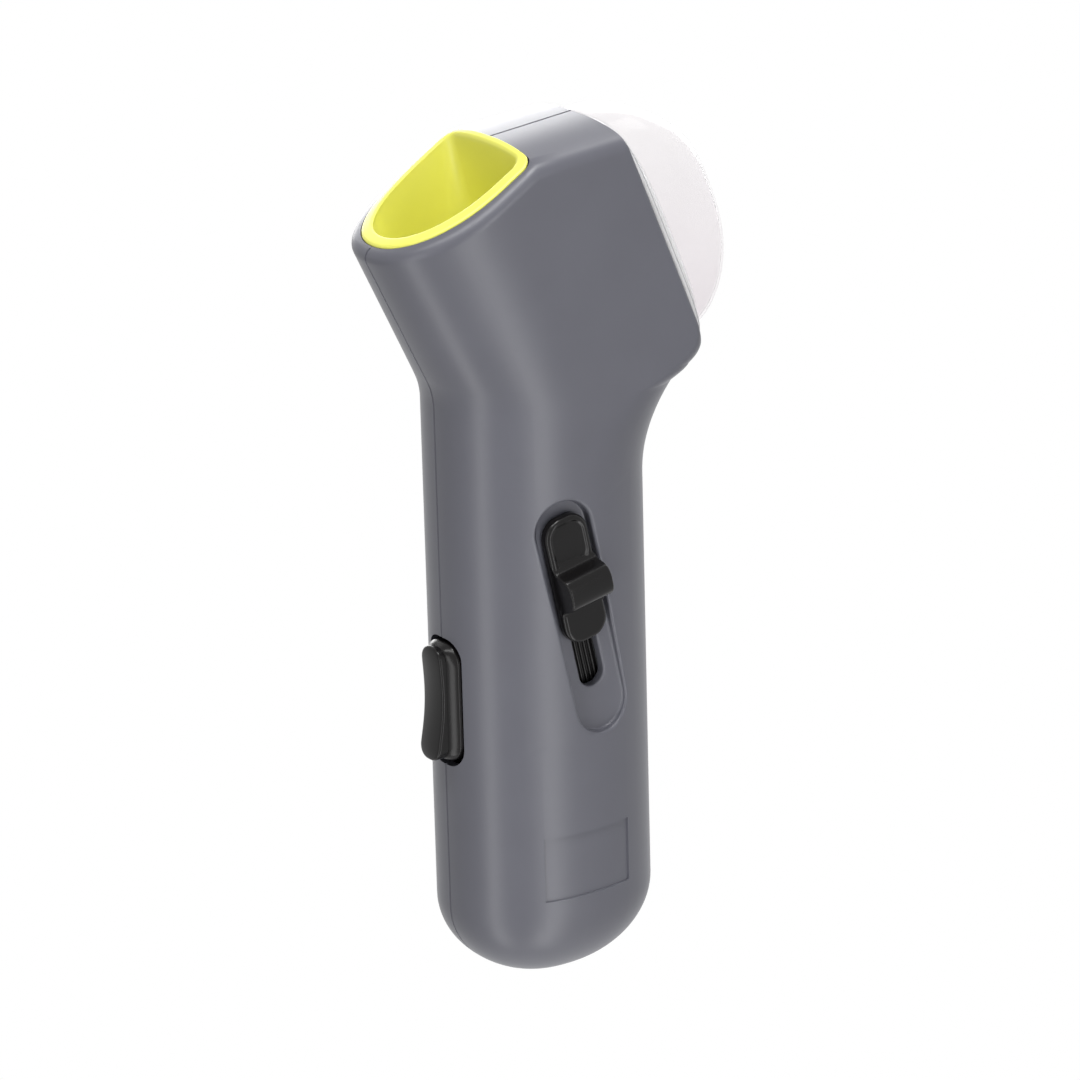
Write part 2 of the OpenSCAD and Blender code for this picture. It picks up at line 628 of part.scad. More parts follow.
module housing_screws() color(steel) for (p = posts) union() {
    cross_pin(p[0], p[1], screw_r, -screw_seat, screw_reach);
    cross_pin(p[0], p[1], screw_head_r, -screw_seat - screw_head_h, -screw_seat);
}

module muzzle_funnel() color(liner_lime) {
    outer = funnel_side(0, tube_r + tube_wall);
    inner = funnel_side(liner_wall, tube_r);
    skin(concat(outer, [for (k = [funnel_steps : -1 : 0]) inner[k]], [outer[0]]));
}

module feed_tube() color(liner_lime) on_axis() difference() {
    translate([0, 0, tube_low]) cylinder(r = tube_r + tube_wall, h = tube_high - tube_low);
    translate([0, 0, tube_low - 1]) cylinder(r = tube_r, h = tube_high - tube_low + 2);
    span([-window_w / 2, window_w / 2], [tube_r / 2, tube_r + over],
         [tube_low + window_sill, face_t - pad_t]);
}

module hopper_chute() color(shell_grey) {
    sill = tube_low + window_sill;
    reach = tube_r + tube_wall + seat_gap;
    foot = [track_y + reach * cos(track_lean) - sill * sin(track_lean),
            track_z + reach * sin(track_lean) + sill * cos(track_lean)];
    back = norm(meet(foot, [cos(chute_slope), sin(chute_slope)], rim_top - (wall + spigot) * rim_out, rim_dir) - foot);
    side = half_w - wall - chute_gap;
    narrow = side - chute_taper;
    difference() {
        translate([0, foot[0], foot[1]]) rotate([chute_slope, 0, 0]) translate([0, 0, -chute_t]) linear_extrude(chute_t)
            polygon([[-side + chute_gap, -reach], [side - chute_gap, -reach], [side, 0], [side, back * 0.72], [narrow, back],
                     [-narrow, back], [-side, back * 0.72], [-side, 0]]);
        on_axis() cylinder(r = reach, h = tube_high);
    }
}
chute_gap = 0.9;
chute_taper = 3.4;

module hopper_dome() color([0.9, 0.9, 0.92, 0.35]) on_rim(dome_drop) {
    a = dome_w / 2;
    b = dome_len / 2;
    z = seat_gap + flange_t;
    t = dome_wall;
    neck_a = hopper_w / 2 - seat_gap;
    neck_b = hopper_len / 2 - seat_gap;
    inner = cap_rows(a - t, b - t, dome_h - t, z);
    skin(concat([for (k = [dome_rows : -1 : 0]) inner[k]],
                [rim_row(neck_a - t, neck_b - t, flange_power, z),
                 rim_row(neck_a - t, neck_b - t, flange_power, -spigot),
                 rim_row(neck_a, neck_b, flange_power, -spigot),
                 rim_row(neck_a, neck_b, flange_power, seat_gap),
                 rim_row(a + flange_out, b + flange_out, flange_power, seat_gap),
                 rim_row(a + flange_out, b + flange_out, flange_power, z)],
                cap_rows(a, b, dome_h, z)));
}

module plunger_head() color(part_black) on_axis() {
    r = tube_r - slide_gap;
    top = face_t - pad_t;
    plate = head_plate;
    socket = head_socket;
    rotate_extrude() polygon([[r - skirt_wall, piston_low], [r, piston_low], [r, top], [0, top],
        [0, top - plate], [rod_r + seat_gap / 4, top - plate], [rod_r + seat_gap / 4, top - plate - socket],
        [rod_r + 2, top - plate - socket], [rod_r + 2, top - plate], [r - skirt_wall, top - plate]]);
}

module plunger_pad() color(part_black) on_axis()
    translate([0, 0, face_t - pad_t]) cylinder(r = tube_r - 3 * slide_gap, h = pad_t);

module plunger_rod() color(steel) on_axis() {
    low = carriage_high - rod_seat;
    translate([0, 0, low]) cylinder(r = rod_r, h = face_t - pad_t - head_plate - low);
}

module carriage() color(part_black) on_axis() difference() {
    union() {
        span([-column_r, column_r], [-column_r, column_r], [carriage_low, catch_t]);
        span([-column_r, column_r], [catch_w - column_r, column_r], [catch_t, carriage_high]);
        for (s = [-1, 1]) scale([s, 1, 1])
            span([column_r - 1, shoulder_x], [-shoulder_w / 2, shoulder_w / 2],
                 [carriage_high - shoulder_len, carriage_high]);
        span([-strip_x, strip_x], [-shoe_w / 2, shoe_w / 2], [stem_mid - arm_len / 2, stem_mid + arm_len / 2]);
    }
    translate([0, 0, carriage_high - rod_seat]) cylinder(r = rod_r + seat_gap / 4, h = over);
    cross_pin(0, stem_mid, slider_head_r + 0.3, -over, slider_seat_x);
    cross_pin(0, stem_mid, slider_screw_r + seat_gap, 0, over);
}

module slide_strip() color(part_black) on_axis() difference() {
    rib_step = 1.2;
    span([strip_x, strip_x + strip_t], [-strip_w / 2, strip_w / 2], [strip_low, strip_high]);
    cross_pin(0, stem_mid, slider_screw_r + seat_gap, 0, over);
    for (k = [-2.5 : 2.5])
        span([strip_x + strip_t - 0.4, half_w], [k * rib_step - 0.3, k * rib_step + 0.3], [-over * 2, stem_mid - stem_len]);
}

// Outline of the cross ridge in shares of its height and length: a steep upper face, a round nose and a long foot
ridge_shape = [[0, 0.5], [0.19, 0.46], [0.49, 0.42], [0.78, 0.38], [0.9, 0.345], [0.97, 0.27], [1, 0.17], [1, 0.04],
               [0.99, -0.08], [0.95, -0.19], [0.84, -0.28], [0.6, -0.36], [0.3, -0.43], [0.08, -0.485], [0, -0.5]];
module thumb_slider() color(part_black) on_axis() difference() {
    face = knob_x + knob_t;
    ridge_top = knob_mid - ridge_drop + ridge_len / 2;
    dish_top = knob_mid + knob_len / 2 - knob_rim;
    union() {
        sideways(knob_x, face) translate([0, knob_mid]) polygon(round_box(knob_w, knob_len, knob_w * 0.4));
        sideways(strip_x + strip_t, knob_x) translate([0, stem_mid]) stadium(slot_w - 2 * slide_gap, stem_len);
        translate([0, knob_w / 2, 0]) rotate([90, 0, 0]) linear_extrude(knob_w)
            polygon(concat([[face - ridge_foot, ridge_top]],
                           [for (p = ridge_shape) [face + ridge_h * p[0], ridge_top + ridge_len * (p[1] - 0.5)]],
                           [[face - ridge_foot, ridge_top - ridge_len]]));
    }
    sideways(face - knob_dish, face + over) translate([0, (ridge_top + dish_top) / 2])
        polygon(round_box(knob_w - 2 * knob_rim, dish_top - ridge_top, 2 * knob_rim));
    cross_pin(0, stem_mid, slider_screw_r - 0.2, 0, slider_tip_x + 0.5);
}

module slider_screw() color(steel) on_axis() {
    cross_pin(0, stem_mid, slider_screw_r, slider_seat_x, slider_tip_x);
    cross_pin(0, stem_mid, slider_head_r, slider_seat_x - slider_head_h, slider_seat_x);
}

module launch_spring() color(steel) on_axis() translate([0, 0, seat_t])
    spring(launch_r, launch_wire, launch_coils, carriage_low - seat_t);

module spring_seat() color(part_black) on_axis() {
    span([-seat_x, seat_x], [-seat_front, seat_back], [seat_t - seat_plate, seat_t]);
    translate([0, 0, seat_t - seat_plate / 2]) cylinder(r = launch_r - launch_wire - post_wall,
        h = seat_plate / 2 + min(seat_post, carriage_low - travel - seat_t - seat_post_gap));
}

module bumper_pads() color([0.2, 0.2, 0.2]) on_axis() for (sx = [-1, 1], sy = [-1, 1]) scale([sx, sy, 1])
    span([stop_x, stop_x + pad_reach], stop_y, [stop_z - stop_pad_t, stop_z]);

module trigger() color(part_black) difference() {
    front = -half_d - block_out;
    top = trigger_z + trigger_h;
    union() {
        forwards(front, block_back) translate([0, trigger_z + trigger_h / 2])
            polygon(round_box(trigger_w, trigger_h, trigger_round));
        intersection() {
            sideways(-trigger_w, trigger_w) polygon(concat([[front + 1, trigger_z], [front + 1, top]],
                [for (k = [0 : 12]) let (u = k / 12, close = pow(abs(2 * u - 1), 8))
                    [-half_d - pad_out - pad_heel * pow(u, 3) + pad_dip * sin(180 * u) + pad_close * close, lerp(top, trigger_z, u)]]));
            forwards(front - over, block_back) translate([0, trigger_z + trigger_h / 2])
                polygon(round_box(pad_w, trigger_h - 1, min(trigger_round, pad_w / 2) - 0.5));
        }
        span([-hook_w / 2, hook_w / 2], arm_y, arm_z);
        on_axis() span([-hook_w / 2, hook_w / 2], [hook_root, hook_tip], [hook_t, hook_t + hook_h]);
    }
    cross_pin(pivot[0], pivot[1], pin_r + pin_run_gap, -over, over);
}

module trigger_pin() color(steel) cross_pin(pivot[0], pivot[1], pin_r, -pin_len / 2, pin_len / 2);

module trigger_spring() color(steel) translate([0, block_back, spring_z]) rotate([-90, 0, 0])
    spring(trigger_spring_r, trigger_wire, trigger_coils, spring_wall_y - block_back);

left_housing();
right_housing();
housing_screws();
muzzle_funnel();
feed_tube();
hopper_chute();
hopper_dome();
plunger_head();
plunger_pad();
plunger_rod();
carriage();
slide_strip();
thumb_slider();
slider_screw();
launch_spring();
spring_seat();
bumper_pads();
trigger();
trigger_pin();
trigger_spring();
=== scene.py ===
import bpy
import bmesh
import math
import numpy as np
from mathutils import Matrix


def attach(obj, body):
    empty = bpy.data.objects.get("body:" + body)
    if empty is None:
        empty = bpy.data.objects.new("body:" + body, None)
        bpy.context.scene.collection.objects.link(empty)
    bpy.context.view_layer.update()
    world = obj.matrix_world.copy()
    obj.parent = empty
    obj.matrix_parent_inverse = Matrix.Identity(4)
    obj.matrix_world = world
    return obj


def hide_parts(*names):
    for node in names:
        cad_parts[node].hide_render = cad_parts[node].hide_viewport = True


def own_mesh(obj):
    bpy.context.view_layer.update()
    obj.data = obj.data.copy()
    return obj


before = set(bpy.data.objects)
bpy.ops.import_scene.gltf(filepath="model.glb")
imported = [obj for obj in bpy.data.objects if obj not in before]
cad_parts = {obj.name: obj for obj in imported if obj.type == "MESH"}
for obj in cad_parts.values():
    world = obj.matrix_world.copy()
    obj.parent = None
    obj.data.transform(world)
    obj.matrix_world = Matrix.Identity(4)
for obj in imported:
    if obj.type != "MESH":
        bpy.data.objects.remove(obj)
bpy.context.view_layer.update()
mm, tiny = 0.001, 1e-4
sin, cos, tan = (lambda a, f=f: f(np.radians(a)) for f in (np.sin, np.cos, np.tan))
print("frame loaded:", len(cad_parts), "nodes")


def lerp(a, b, k):
    return a + (b - a) * k


def pick(sizes, names):
    return [sizes[k] for k in names.split()]


def smooth(k):
    k = np.clip(k, 0, 1)
    return k * k * (3 - 2 * k)


def at(*place):
    return np.array(place, float)


def coords(*columns):  # points from columns, where a single number fills its column
    return np.stack(np.broadcast_arrays(*columns), axis=-1)


def quarter(count):
    return np.linspace(0, 90, count)


def fullTurn(count):
    return np.linspace(0, 360, count, endpoint=False)


def fillet(count, start=0, end=90):  # shares in from the two sides of a rounded edge
    return [(1 - cos(a), 1 - sin(a)) for a in np.linspace(start, end, count)]


def meet(p, d, q, e):  # where the line through p along d meets the line through q along e
    gap = q - p
    return p + d * (gap[0] * e[1] - gap[1] * e[0]) / (d[0] * e[1] - d[1] * e[0])


# shader maths: a Wire is one socket of a node tree
class Wire:
    def __init__(self, tree, socket=None):
        self.tree, self.socket = tree, socket

    def add(self, kind, values=None, out=0, **settings):
        node = self.tree.nodes.new(kind)
        for name, value in settings.items():
            setattr(node, name, value)
        for name, value in (values or {}).items():
            if isinstance(value, Wire):
                self.tree.links.new(value.socket, node.inputs[name])
            else:
                node.inputs[name].default_value = value
        return Wire(self.tree, node.outputs[out]) if len(node.outputs) else node

    def shade(self, kind, values=None, **rest):
        return self.add("ShaderNode" + kind, values, **rest)

    def geo(self, kind, values=None, **rest):
        return self.add("GeometryNode" + kind, values, **rest)

    def sum(self, operation, *terms):
        return self.shade("Math", dict(enumerate(terms)), operation=operation)

    def blend(self, share, a, b):  # by the colour sockets of a mix
        return self.shade("Mix", {0: share, 6: a, 7: b}, out=2, data_type="RGBA")

    def vec(self, **xyz):
        return self.shade("CombineXYZ", xyz)

    def noise(self, where, size, detail=2.0, rough=0.5):  # size in millimetres
        return self.shade("TexNoise", {"Vector": where, "Scale": 1000.0 / size, "Detail": detail, "Roughness": rough})

    def ramp(self, value, *stops):  # grey stops as (place, shade)
        out = self.shade("ValToRGB", {0: value})
        made = out.socket.node.color_ramp.elements
        while len(made) < len(stops):
            made.new(0.5)
        for stop, (place, shade) in zip(made, stops):
            stop.position, stop.color = place, (shade, shade, shade, 1)
        return out

    def __add__(self, other):
        return self.sum("ADD", self, other)

    def __sub__(self, other):
        return self.sum("SUBTRACT", self, other)

    def __mul__(self, other):
        return self.sum("MULTIPLY", self, other)

    __radd__ = __add__


def emptyTree(owner):
    owner.use_nodes = True
    owner.node_tree.nodes.clear()
    return Wire(owner.node_tree)


def newMaterial(name, look):
    material = bpy.data.materials.new(name)
    wire = emptyTree(material)
    surface = look(wire)
    if isinstance(surface, dict):
        surface = wire.shade("BsdfPrincipled", surface)
    wire.shade("OutputMaterial", {"Surface": surface})
    return material


moulded = dict(grain=0.22, grainDepth=0.02, cloud=14.0, scuff=2.6)  # moulded plastic skin, sizes in millimetres


def mouldedLook(deep, pale, rough, spread, bump, **extra):
    def look(wire):
        where = wire.shade("TexCoord", out="Object")
        cloud = wire.noise(where, moulded["cloud"], 3.0)
        fine = wire.noise(where, moulded["grain"], 1.0)
        scuff = wire.ramp(wire.noise(where, moulded["scuff"], 6.0, 0.7), (0.52, 0.0), (0.75, 1.0))
        skin = wire.shade("Bump", {"Strength": bump, "Distance": moulded["grainDepth"] * mm, "Height": fine})
        return {"Base Color": wire.blend(cloud * 0.7 + fine * 0.3, (*deep, 1), (*pale, 1)),
                "Roughness": rough + (cloud - 0.5) * spread + scuff * (spread * 0.5), "Normal": skin, **extra}
    return look


def steelLook(wire):
    where = wire.shade("TexCoord", out="Object")
    drawn = wire.shade("Mapping", {"Vector": where, "Scale": (1.0, 1.0, 0.12)})
    lines, cloud = wire.noise(drawn, 0.25, 4.0, 0.6), wire.noise(where, 3.0, 3.0)
    skin = wire.shade("Bump", {"Strength": 0.25, "Distance": 0.02 * mm, "Height": lines})
    return {"Base Color": wire.blend(cloud, (0.52, 0.52, 0.54, 1), (0.66, 0.66, 0.68, 1)), "Metallic": 1.0,
            "Roughness": 0.24 + lines * 0.16, "Normal": skin}


# the rim plane's normal in Y and Z, its distance, the flange's height and the heights over which a painted highlight
# turns the cap paler towards its top
domeRim = dict(out=(0.9252, 0.3795), level=87.92, flange=2.2, paintedLightFrom=150.0, paintedLightTo=192.0)


def domeLook(wire):  # clear cap, with a painted highlight that makes it paler towards its top, and a hazy flange along the rim
    where = wire.shade("TexCoord", out="Object")

    def along(*direction):
        return wire.shade("VectorMath", {0: where, 1: direction}, out=1, operation="DOT_PRODUCT")

    swirl = wire.noise(where, 9.0, 2.0)
    haze = wire.ramp(wire.noise(where, 1.4, 4.0, 0.6), (0.5, 0.0), (0.8, 1.0))
    flow = wire.shade("Bump", {"Strength": 0.04, "Distance": 0.2 * mm, "Height": swirl})
    height = (along(0.0, *domeRim["out"]) - domeRim["level"] * mm) * (0.5 / (domeRim["flange"] * mm))
    run = (domeRim["paintedLightTo"] - domeRim["paintedLightFrom"]) * mm
    # painted highlight: between the two heights the cap's colour turns paler towards its top
    high = wire.ramp((along(0.0, 0.0, 1.0) - domeRim["paintedLightFrom"] * mm) * (1.0 / run), (0.0, 0.0), (1.0, 1.0))
    low = wire.blend(swirl, (0.918, 0.888, 0.905, 1), (0.945, 0.92, 0.932, 1))
    swirlAndPaintedTopLight = wire.blend(high, low, (0.985, 0.972, 0.978, 1))
    line = wire.ramp(height, (0.5, 0.0), (0.52, 1.0), (0.57, 1.0), (0.6, 0.0))
    clear = {"Base Color": wire.blend(line, swirlAndPaintedTopLight, (0.83, 0.82, 0.83, 1)), "Roughness": 0.05 + haze * 0.05, "Normal": flow,
             "Transmission Weight": 0.95, "IOR": 1.01, "Coat Weight": 0.4, "Coat Roughness": 0.22}
    white = wire.blend(swirl, (0.89, 0.885, 0.89, 1), (0.93, 0.925, 0.93, 1))
    # painted shade: a grey line at the flange's foot, where the body's edge shades it
    paintedGapShade = wire.ramp(height, (0.22, 0.0), (0.235, 1.0), (0.27, 1.0), (0.285, 0.0))
    milky = {"Base Color": wire.blend(paintedGapShade, white, (0.55, 0.55, 0.57, 1)), "Roughness": 0.35 + haze * 0.1,
             "Transmission Weight": 0.1, "IOR": 1.2}
    clear, milky = (wire.shade("BsdfPrincipled", values) for values in (clear, milky))
    return wire.shade("MixShader", {0: wire.ramp(height, (0.48, 1.0), (0.51, 0.0)), 1: clear, 2: milky})


looks = {slot: newMaterial(name, look) for slot, name, look in (
    ("shell_grey", "mouldedGrey", mouldedLook((0.112, 0.113, 0.135), (0.132, 0.134, 0.159), 0.36, 0.06, 0.35,
        **{"Specular IOR Level": 0.45})),
    ("liner_lime", "limeLiner", mouldedLook((0.90, 0.885, 0.14), (0.94, 0.93, 0.18), 0.34, 0.08, 0.2)),
    ("black_plastic", "blackPlastic", mouldedLook((0.0055, 0.005, 0.0052), (0.008, 0.0074, 0.0076), 0.21, 0.06, 0.3,
        **{"Specular IOR Level": 0.22})),
    ("black_rubber", "blackRubber", mouldedLook((0.014, 0.014, 0.014), (0.024, 0.024, 0.023), 0.72, 0.10, 0.6)),
    ("steel", "drawnSteel", steelLook), ("clear_dome", "clearDome", domeLook))}
print("materials made:", len(looks))


# mesh building, in millimetres
def gridFaces(index, closed=False, skip=lambda i, j: False):  # quads over a grid of vertex numbers, rows up
    cols = index.shape[1]
    return [(index[i, j], index[i, (j + 1) % cols], index[i + 1, (j + 1) % cols], index[i + 1, j])
            for i in range(index.shape[0] - 1) for j in range(cols if closed else cols - 1) if not skip(i, j)]


def settle(mesh, sharp):  # merge doubles, turn every face outwards, and mark the sharp edges
    work = bmesh.new()
    work.from_mesh(mesh)
    bmesh.ops.remove_doubles(work, verts=work.verts, dist=2e-6)
    bmesh.ops.dissolve_degenerate(work, edges=work.edges, dist=1e-6)
    bmesh.ops.recalc_face_normals(work, faces=work.faces)
    if work.calc_volume(signed=True) < 0:
        bmesh.ops.reverse_faces(work, faces=work.faces)
    bmesh.ops.triangulate(work, faces=[f for f in work.faces if len(f.verts) > 4])
    twins = {}
    for face in work.faces:
        twins.setdefault(frozenset(face.verts), []).append(face)
    folded = [f for pair in twins.values() if len(pair) > 1 for f in pair]  # slivers folded onto themselves
    bmesh.ops.delete(work, geom=folded, context="FACES")
    loose = sum(not e.is_manifold for e in work.edges)
    if loose:
        print("open edges:", mesh.name, loose)
    work.to_mesh(mesh)
    work.free()
    mesh.shade_smooth()
    mesh.set_sharp_from_angle(angle=math.radians(sharp))


def linked(name, data):  # a new object in the scene
    obj = bpy.data.objects.new(name, data)
    bpy.context.scene.collection.objects.link(obj)
    return obj


def meshFrom(name, spots, faces=()):
    mesh = bpy.data.meshes.new(name)
    mesh.from_pydata([tuple(p) for p in np.asarray(spots, float) * mm], [], [tuple(int(v) for v in f) for f in faces])
    return mesh


def newObject(name, spots, faces, sharp=35):
    mesh = meshFrom(name, spots, faces)
    settle(mesh, sharp)
    return linked(name, mesh)


def loft(name, rows, round=False, sharp=35):  # rows of points, each a closed loop; round joins the last row to the first
    rows = [np.asarray(r, float) for r in rows]
    index = np.arange(len(rows) * len(rows[0])).reshape(len(rows), -1)
    if round:
        index = np.vstack([index, index[:1]])
    return newObject(name, np.vstack(rows), gridFaces(index, True), sharp)


def plug(name, rows, sharp=35):  # a loft closed at both ends
    first, last = (np.repeat(r.mean(axis=0)[None], len(r), axis=0) for r in (rows[0], rows[-1]))
    return loft(name, [first, *rows, last], False, sharp)


def bakedMesh(obj):
    graph = bpy.context.evaluated_depsgraph_get()
    return bpy.data.meshes.new_from_object(obj.evaluated_get(graph))


def carve(obj, operation, tools, sharp=35):  # boolean with each tool in turn; the tools are used up
    for tool in tools:
        step = obj.modifiers.new("carve", "BOOLEAN")
        step.operation, step.solver, step.object = operation, "MANIFOLD", tool
    mesh = bakedMesh(obj)
    obj.modifiers.clear()
    old, obj.data = obj.data, mesh
    bpy.data.meshes.remove(old)
    for tool in tools:
        bpy.data.objects.remove(tool)
    settle(obj.data, sharp)
    return obj


def joined(name, objs):
    spots, faces = [], []
    for obj in objs:
        shift = len(spots)
        spots += [tuple(v.co / mm) for v in obj.data.vertices]
        faces += [[shift + v for v in f.vertices] for f in obj.data.polygons]
        bpy.data.objects.remove(obj)
    return linked(name, meshFrom(name, spots, faces))


def finishPiece(obj, name, body, slot, *nodes):
    obj.name = obj.data.name = name
    obj.data.materials.clear()
    obj.data.materials.append(looks[slot])
    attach(obj, body)
    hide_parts(*nodes)
    print("piece", name, len(obj.data.polygons), "faces")
    return obj


def roundLoop(w, h, r, along=10, bend=8):  # rounded rectangle about the middle, with points along its sides
    r = max(min(r, w / 2, h / 2), 1e-6)
    x, y = w / 2 - r, h / 2 - r
    corners = [(x, y, 0), (-x, y, 90), (-x, -y, 180), (x, -y, 270)]
    loop = []
    for n, (x, y, a) in enumerate(corners):
        arc = [(x + r * cos(a + 90 * k / bend), y + r * sin(a + 90 * k / bend)) for k in range(bend + 1)]
        x2, y2, a2 = corners[(n + 1) % 4]
        end = (x2 + r * cos(a2), y2 + r * sin(a2))
        steps = along if n % 2 == 0 else along * 4
        loop += arc + [tuple(lerp(p, q, k / steps) for p, q in zip(arc[-1], end)) for k in range(1, steps)]
    return np.array(loop)


def stadiumLoop(w, l, count=48):
    a = fullTurn(count) + 180.0 / count
    return coords(w / 2 * cos(a), w / 2 * sin(a) + np.where(sin(a) > 0, 1, -1) * (l - w) / 2)


def lathe(name, profile, place, count=48):  # profile of (radius, along X) pairs
    turn = fullTurn(count)
    return loft(name, [[place(at(along, r * cos(t), r * sin(t))) for t in turn] for r, along in profile])


def rod(name, r, start, end, place, count=48):
    return lathe(name, [(0, start), (r, start), (r, end), (0, end)], place, count)


def moved(y, z):
    return lambda p: p + at(0, y, z)


def block(name, xs, ys, zs, place=lambda p: p):
    spots = [place(at(x, y, z)) for x in xs for y in ys for z in zs]
    return newObject(name, spots, [(0, 1, 3, 2), (4, 6, 7, 5), (0, 4, 5, 1), (2, 3, 7, 6), (0, 2, 6, 4), (1, 5, 7, 3)])


shell = dict(
    halfDepth=25.7, halfWidth=19.5, power=2.2, buttRound=20.0, height=200.0, rimTopY=13.0, rimLean=22.3,
    mouthRearY=-9.0, topRise=2.2, mouthSlope=31.6, muzzleLean=26.0, neckDrop=57.8, neckRound=15.0, hopperDrop=71.0,
    hopperLean=33.0, hopperRound=40.0, crown=3.4, crownPower=2.5, edgeRound=2.4, rimCorner=10.0, rimRound=5.0,
    rimEdge=1.2, wall=2.2, seamFlat=0.4, underCorner=10.0, groove=0.3, grooveDeep=1.6, grooveShare=0.6, fold=0.3)
halfDepth, halfWidth, wall, crown = pick(shell, "halfDepth halfWidth wall crown")
muzzleLean, hopperLean, rimLean = pick(shell, "muzzleLean hopperLean rimLean")
edgeRound, seamFlat, rimCorner = pick(shell, "edgeRound seamFlat rimCorner")
neckZ, hopperZ = shell["height"] - shell["neckDrop"], shell["height"] - shell["hopperDrop"]
rimTop = at(shell["rimTopY"], shell["height"])
mouthRear = at(shell["mouthRearY"], shell["height"] - shell["topRise"])
frontDir = at(-sin(muzzleLean), cos(muzzleLean))
underDir = at(sin(hopperLean), cos(hopperLean))
rimDir = at(sin(rimLean), -cos(rimLean))
rimOut = at(cos(rimLean), sin(rimLean))
mouthDir = at(cos(shell["mouthSlope"]), sin(shell["mouthSlope"]))
topDir = rimTop - mouthRear


def frontFoot(w):
    return at(w - halfDepth, neckZ + w * tan(muzzleLean / 2))


def underFoot(w):
    return at(halfDepth - w, hopperZ + w * tan(hopperLean / 2))


def neckArc(w, a):
    r, f = shell["neckRound"] + w, frontFoot(w)
    return at(f[0] - r + r * cos(a), f[1] - r * tan(muzzleLean / 2) + r * sin(a))


def underArc(w, a):
    r, f = shell["hopperRound"] + w, underFoot(w)
    return at(f[0] + r - r * cos(a), f[1] - r * tan(hopperLean / 2) + r * sin(a))


def lip(w, drop):
    return meet(frontFoot(w), frontDir, mouthRear - at(0, drop), mouthDir)


def rimHigh(w, drop):
    return meet(rimTop - w * rimOut, rimDir, rimTop - at(0, drop), topDir)


def rimLow(w):
    return meet(underFoot(w), underDir, rimTop - w * rimOut, rimDir)


def topZ(y):
    slope = np.where(y < mouthRear[0], tan(shell["mouthSlope"]), topDir[1] / topDir[0])
    return mouthRear[1] + (y - mouthRear[0]) * slope


def rimArc(w, k):  # turn from the hopper's underside into the rim
    r, a = shell["rimRound"] - w, lerp(90 - hopperLean, 90 + rimLean, k)
    foot = rimLow(w) - r * tan((hopperLean + rimLean) / 2) * underDir
    return foot + r * (at(sin(a), -cos(a)) - at(cos(hopperLean), -sin(hopperLean)))


def cornerShare(rise):
    return 1.0 if rise >= rimCorner else math.sqrt(1 - (1 - rise / rimCorner) ** 2)


plate = dict(front=-11.6, back=11.3, low=23.2, high=38.5, depth=0.4, step=0.12)  # the bare sunken plate near the butt
patch = dict(front=-14.5, back=14.5, low=58.5, highShare=0.155)  # the part of the side that the track takes up
buttRows, rimFoot = 27, 0.04  # rows round the butt, and share of the head where the rim's turn ends
turnReach = shell["rimRound"] * tan((hopperLean + rimLean) / 2)
shaftTop = float(underArc(0, 0)[1])
plateLevels = [plate["low"], plate["low"] + plate["step"], plate["high"] - plate["step"], plate["high"]]
shaftLevels = sorted([*plateLevels, *np.linspace(21.5, 22.6, 2), *np.linspace(25, 37, 9), *np.linspace(40, 57, 12),
                      *np.arange(patch["low"], shaftTop - 0.5, 1.4)])
shoulderShares = [0.0, 0.05, 0.1, patch["highShare"], *np.linspace(0.2, 2.0, 46)]
headShares = [*np.linspace(0.055, 0.2, 10), *np.linspace(0.23, 1.0, 28)]


def sections(w):  # front point, back point, half width, squareness of the back, share of the top's bend
    rows, half = [], halfWidth - w
    for a in quarter(buttRows):
        y, z = (halfDepth - w) * sin(a), shell["buttRound"] - (shell["buttRound"] - w) * cos(a)
        rows.append((at(-y, z), at(y, z), half * sin(a), 0.0, 0.0))
    for z in shaftLevels:
        rows.append((at(w - halfDepth, z), at(halfDepth - w, z), half, 0.0, 0.0))
    foot = at(frontFoot(w)[0], underArc(w, 0)[1])
    for q in shoulderShares:
        front = lerp(foot, neckArc(w, 0), q) if q <= 1 else neckArc(w, muzzleLean * (q - 1))
        back = underArc(w, hopperLean * q) if q <= 1 else lerp(underArc(w, hopperLean), rimArc(w, 0), q - 1)
        rows.append((front, back, half, float(smooth(q / 2)), 0.0))
    neck, top = neckArc(w, muzzleLean), lip(w, w + edgeRound)
    for k in np.linspace(0.1, 1, 9):
        rows.append((lerp(neck, top, rimFoot * k), rimArc(w, k), half, 1 + cornerShare(turnReach * k * k), rimFoot * k))
    low, high = rimArc(w, 1), rimHigh(w, w + edgeRound)
    for q in headShares:
        k = (q - rimFoot) / (1 - rimFoot)
        rise = turnReach + k * float(np.linalg.norm(high - low))
        rows.append((lerp(neck, top, q), lerp(low, high, k), half, 1 + cornerShare(rise), q))
    for u, v in fillet(9, 10):
        drop, inset = w + edgeRound * v, edgeRound * u
        rows.append((lip(w, drop) + inset * mouthDir, rimHigh(w, drop), half - inset, 2.0, 1.0))
    return rows


def angleOf(turn, share):  # where the section's curve has come this far
    return float(np.degrees(turn(share ** (1 / bulge))))


bulge = 2 / shell["power"]
frontPlaces = [plate["front"], plate["front"] + plate["step"], patch["front"]]
backPlaces = [plate["back"] - plate["step"], plate["back"], patch["back"]]
frontAt = [angleOf(np.arccos, -y / halfDepth) for y in frontPlaces]
backAt = [angleOf(np.arcsin, (y - seamFlat) / (halfDepth - seamFlat)) for y in backPlaces]
seamAt = angleOf(np.arcsin, shell["groove"] / halfWidth)


def spread(start, end, count, fixed, apart=0.9):  # even angles that keep the fixed ones
    even = [a for a in np.linspace(start, end, count) if all(abs(a - f) > apart for f in fixed)]
    return np.array(sorted([*even, *fixed]))


frontA = at(0.0, *spread(seamAt, 90, 34, [seamAt, 90.0, *frontAt]))
backA = spread(0, 90, 30, [0.0, 90.0, *backAt])
flatShares = [1 / 3, 2 / 3, 1.0]
sideCols = 2 * len(flatShares) - 1
rearShares = np.linspace(0, 1, 15)[1:]
roofCols = len(frontA) + sideCols + len(backA)  # columns in front of the rim's flat face


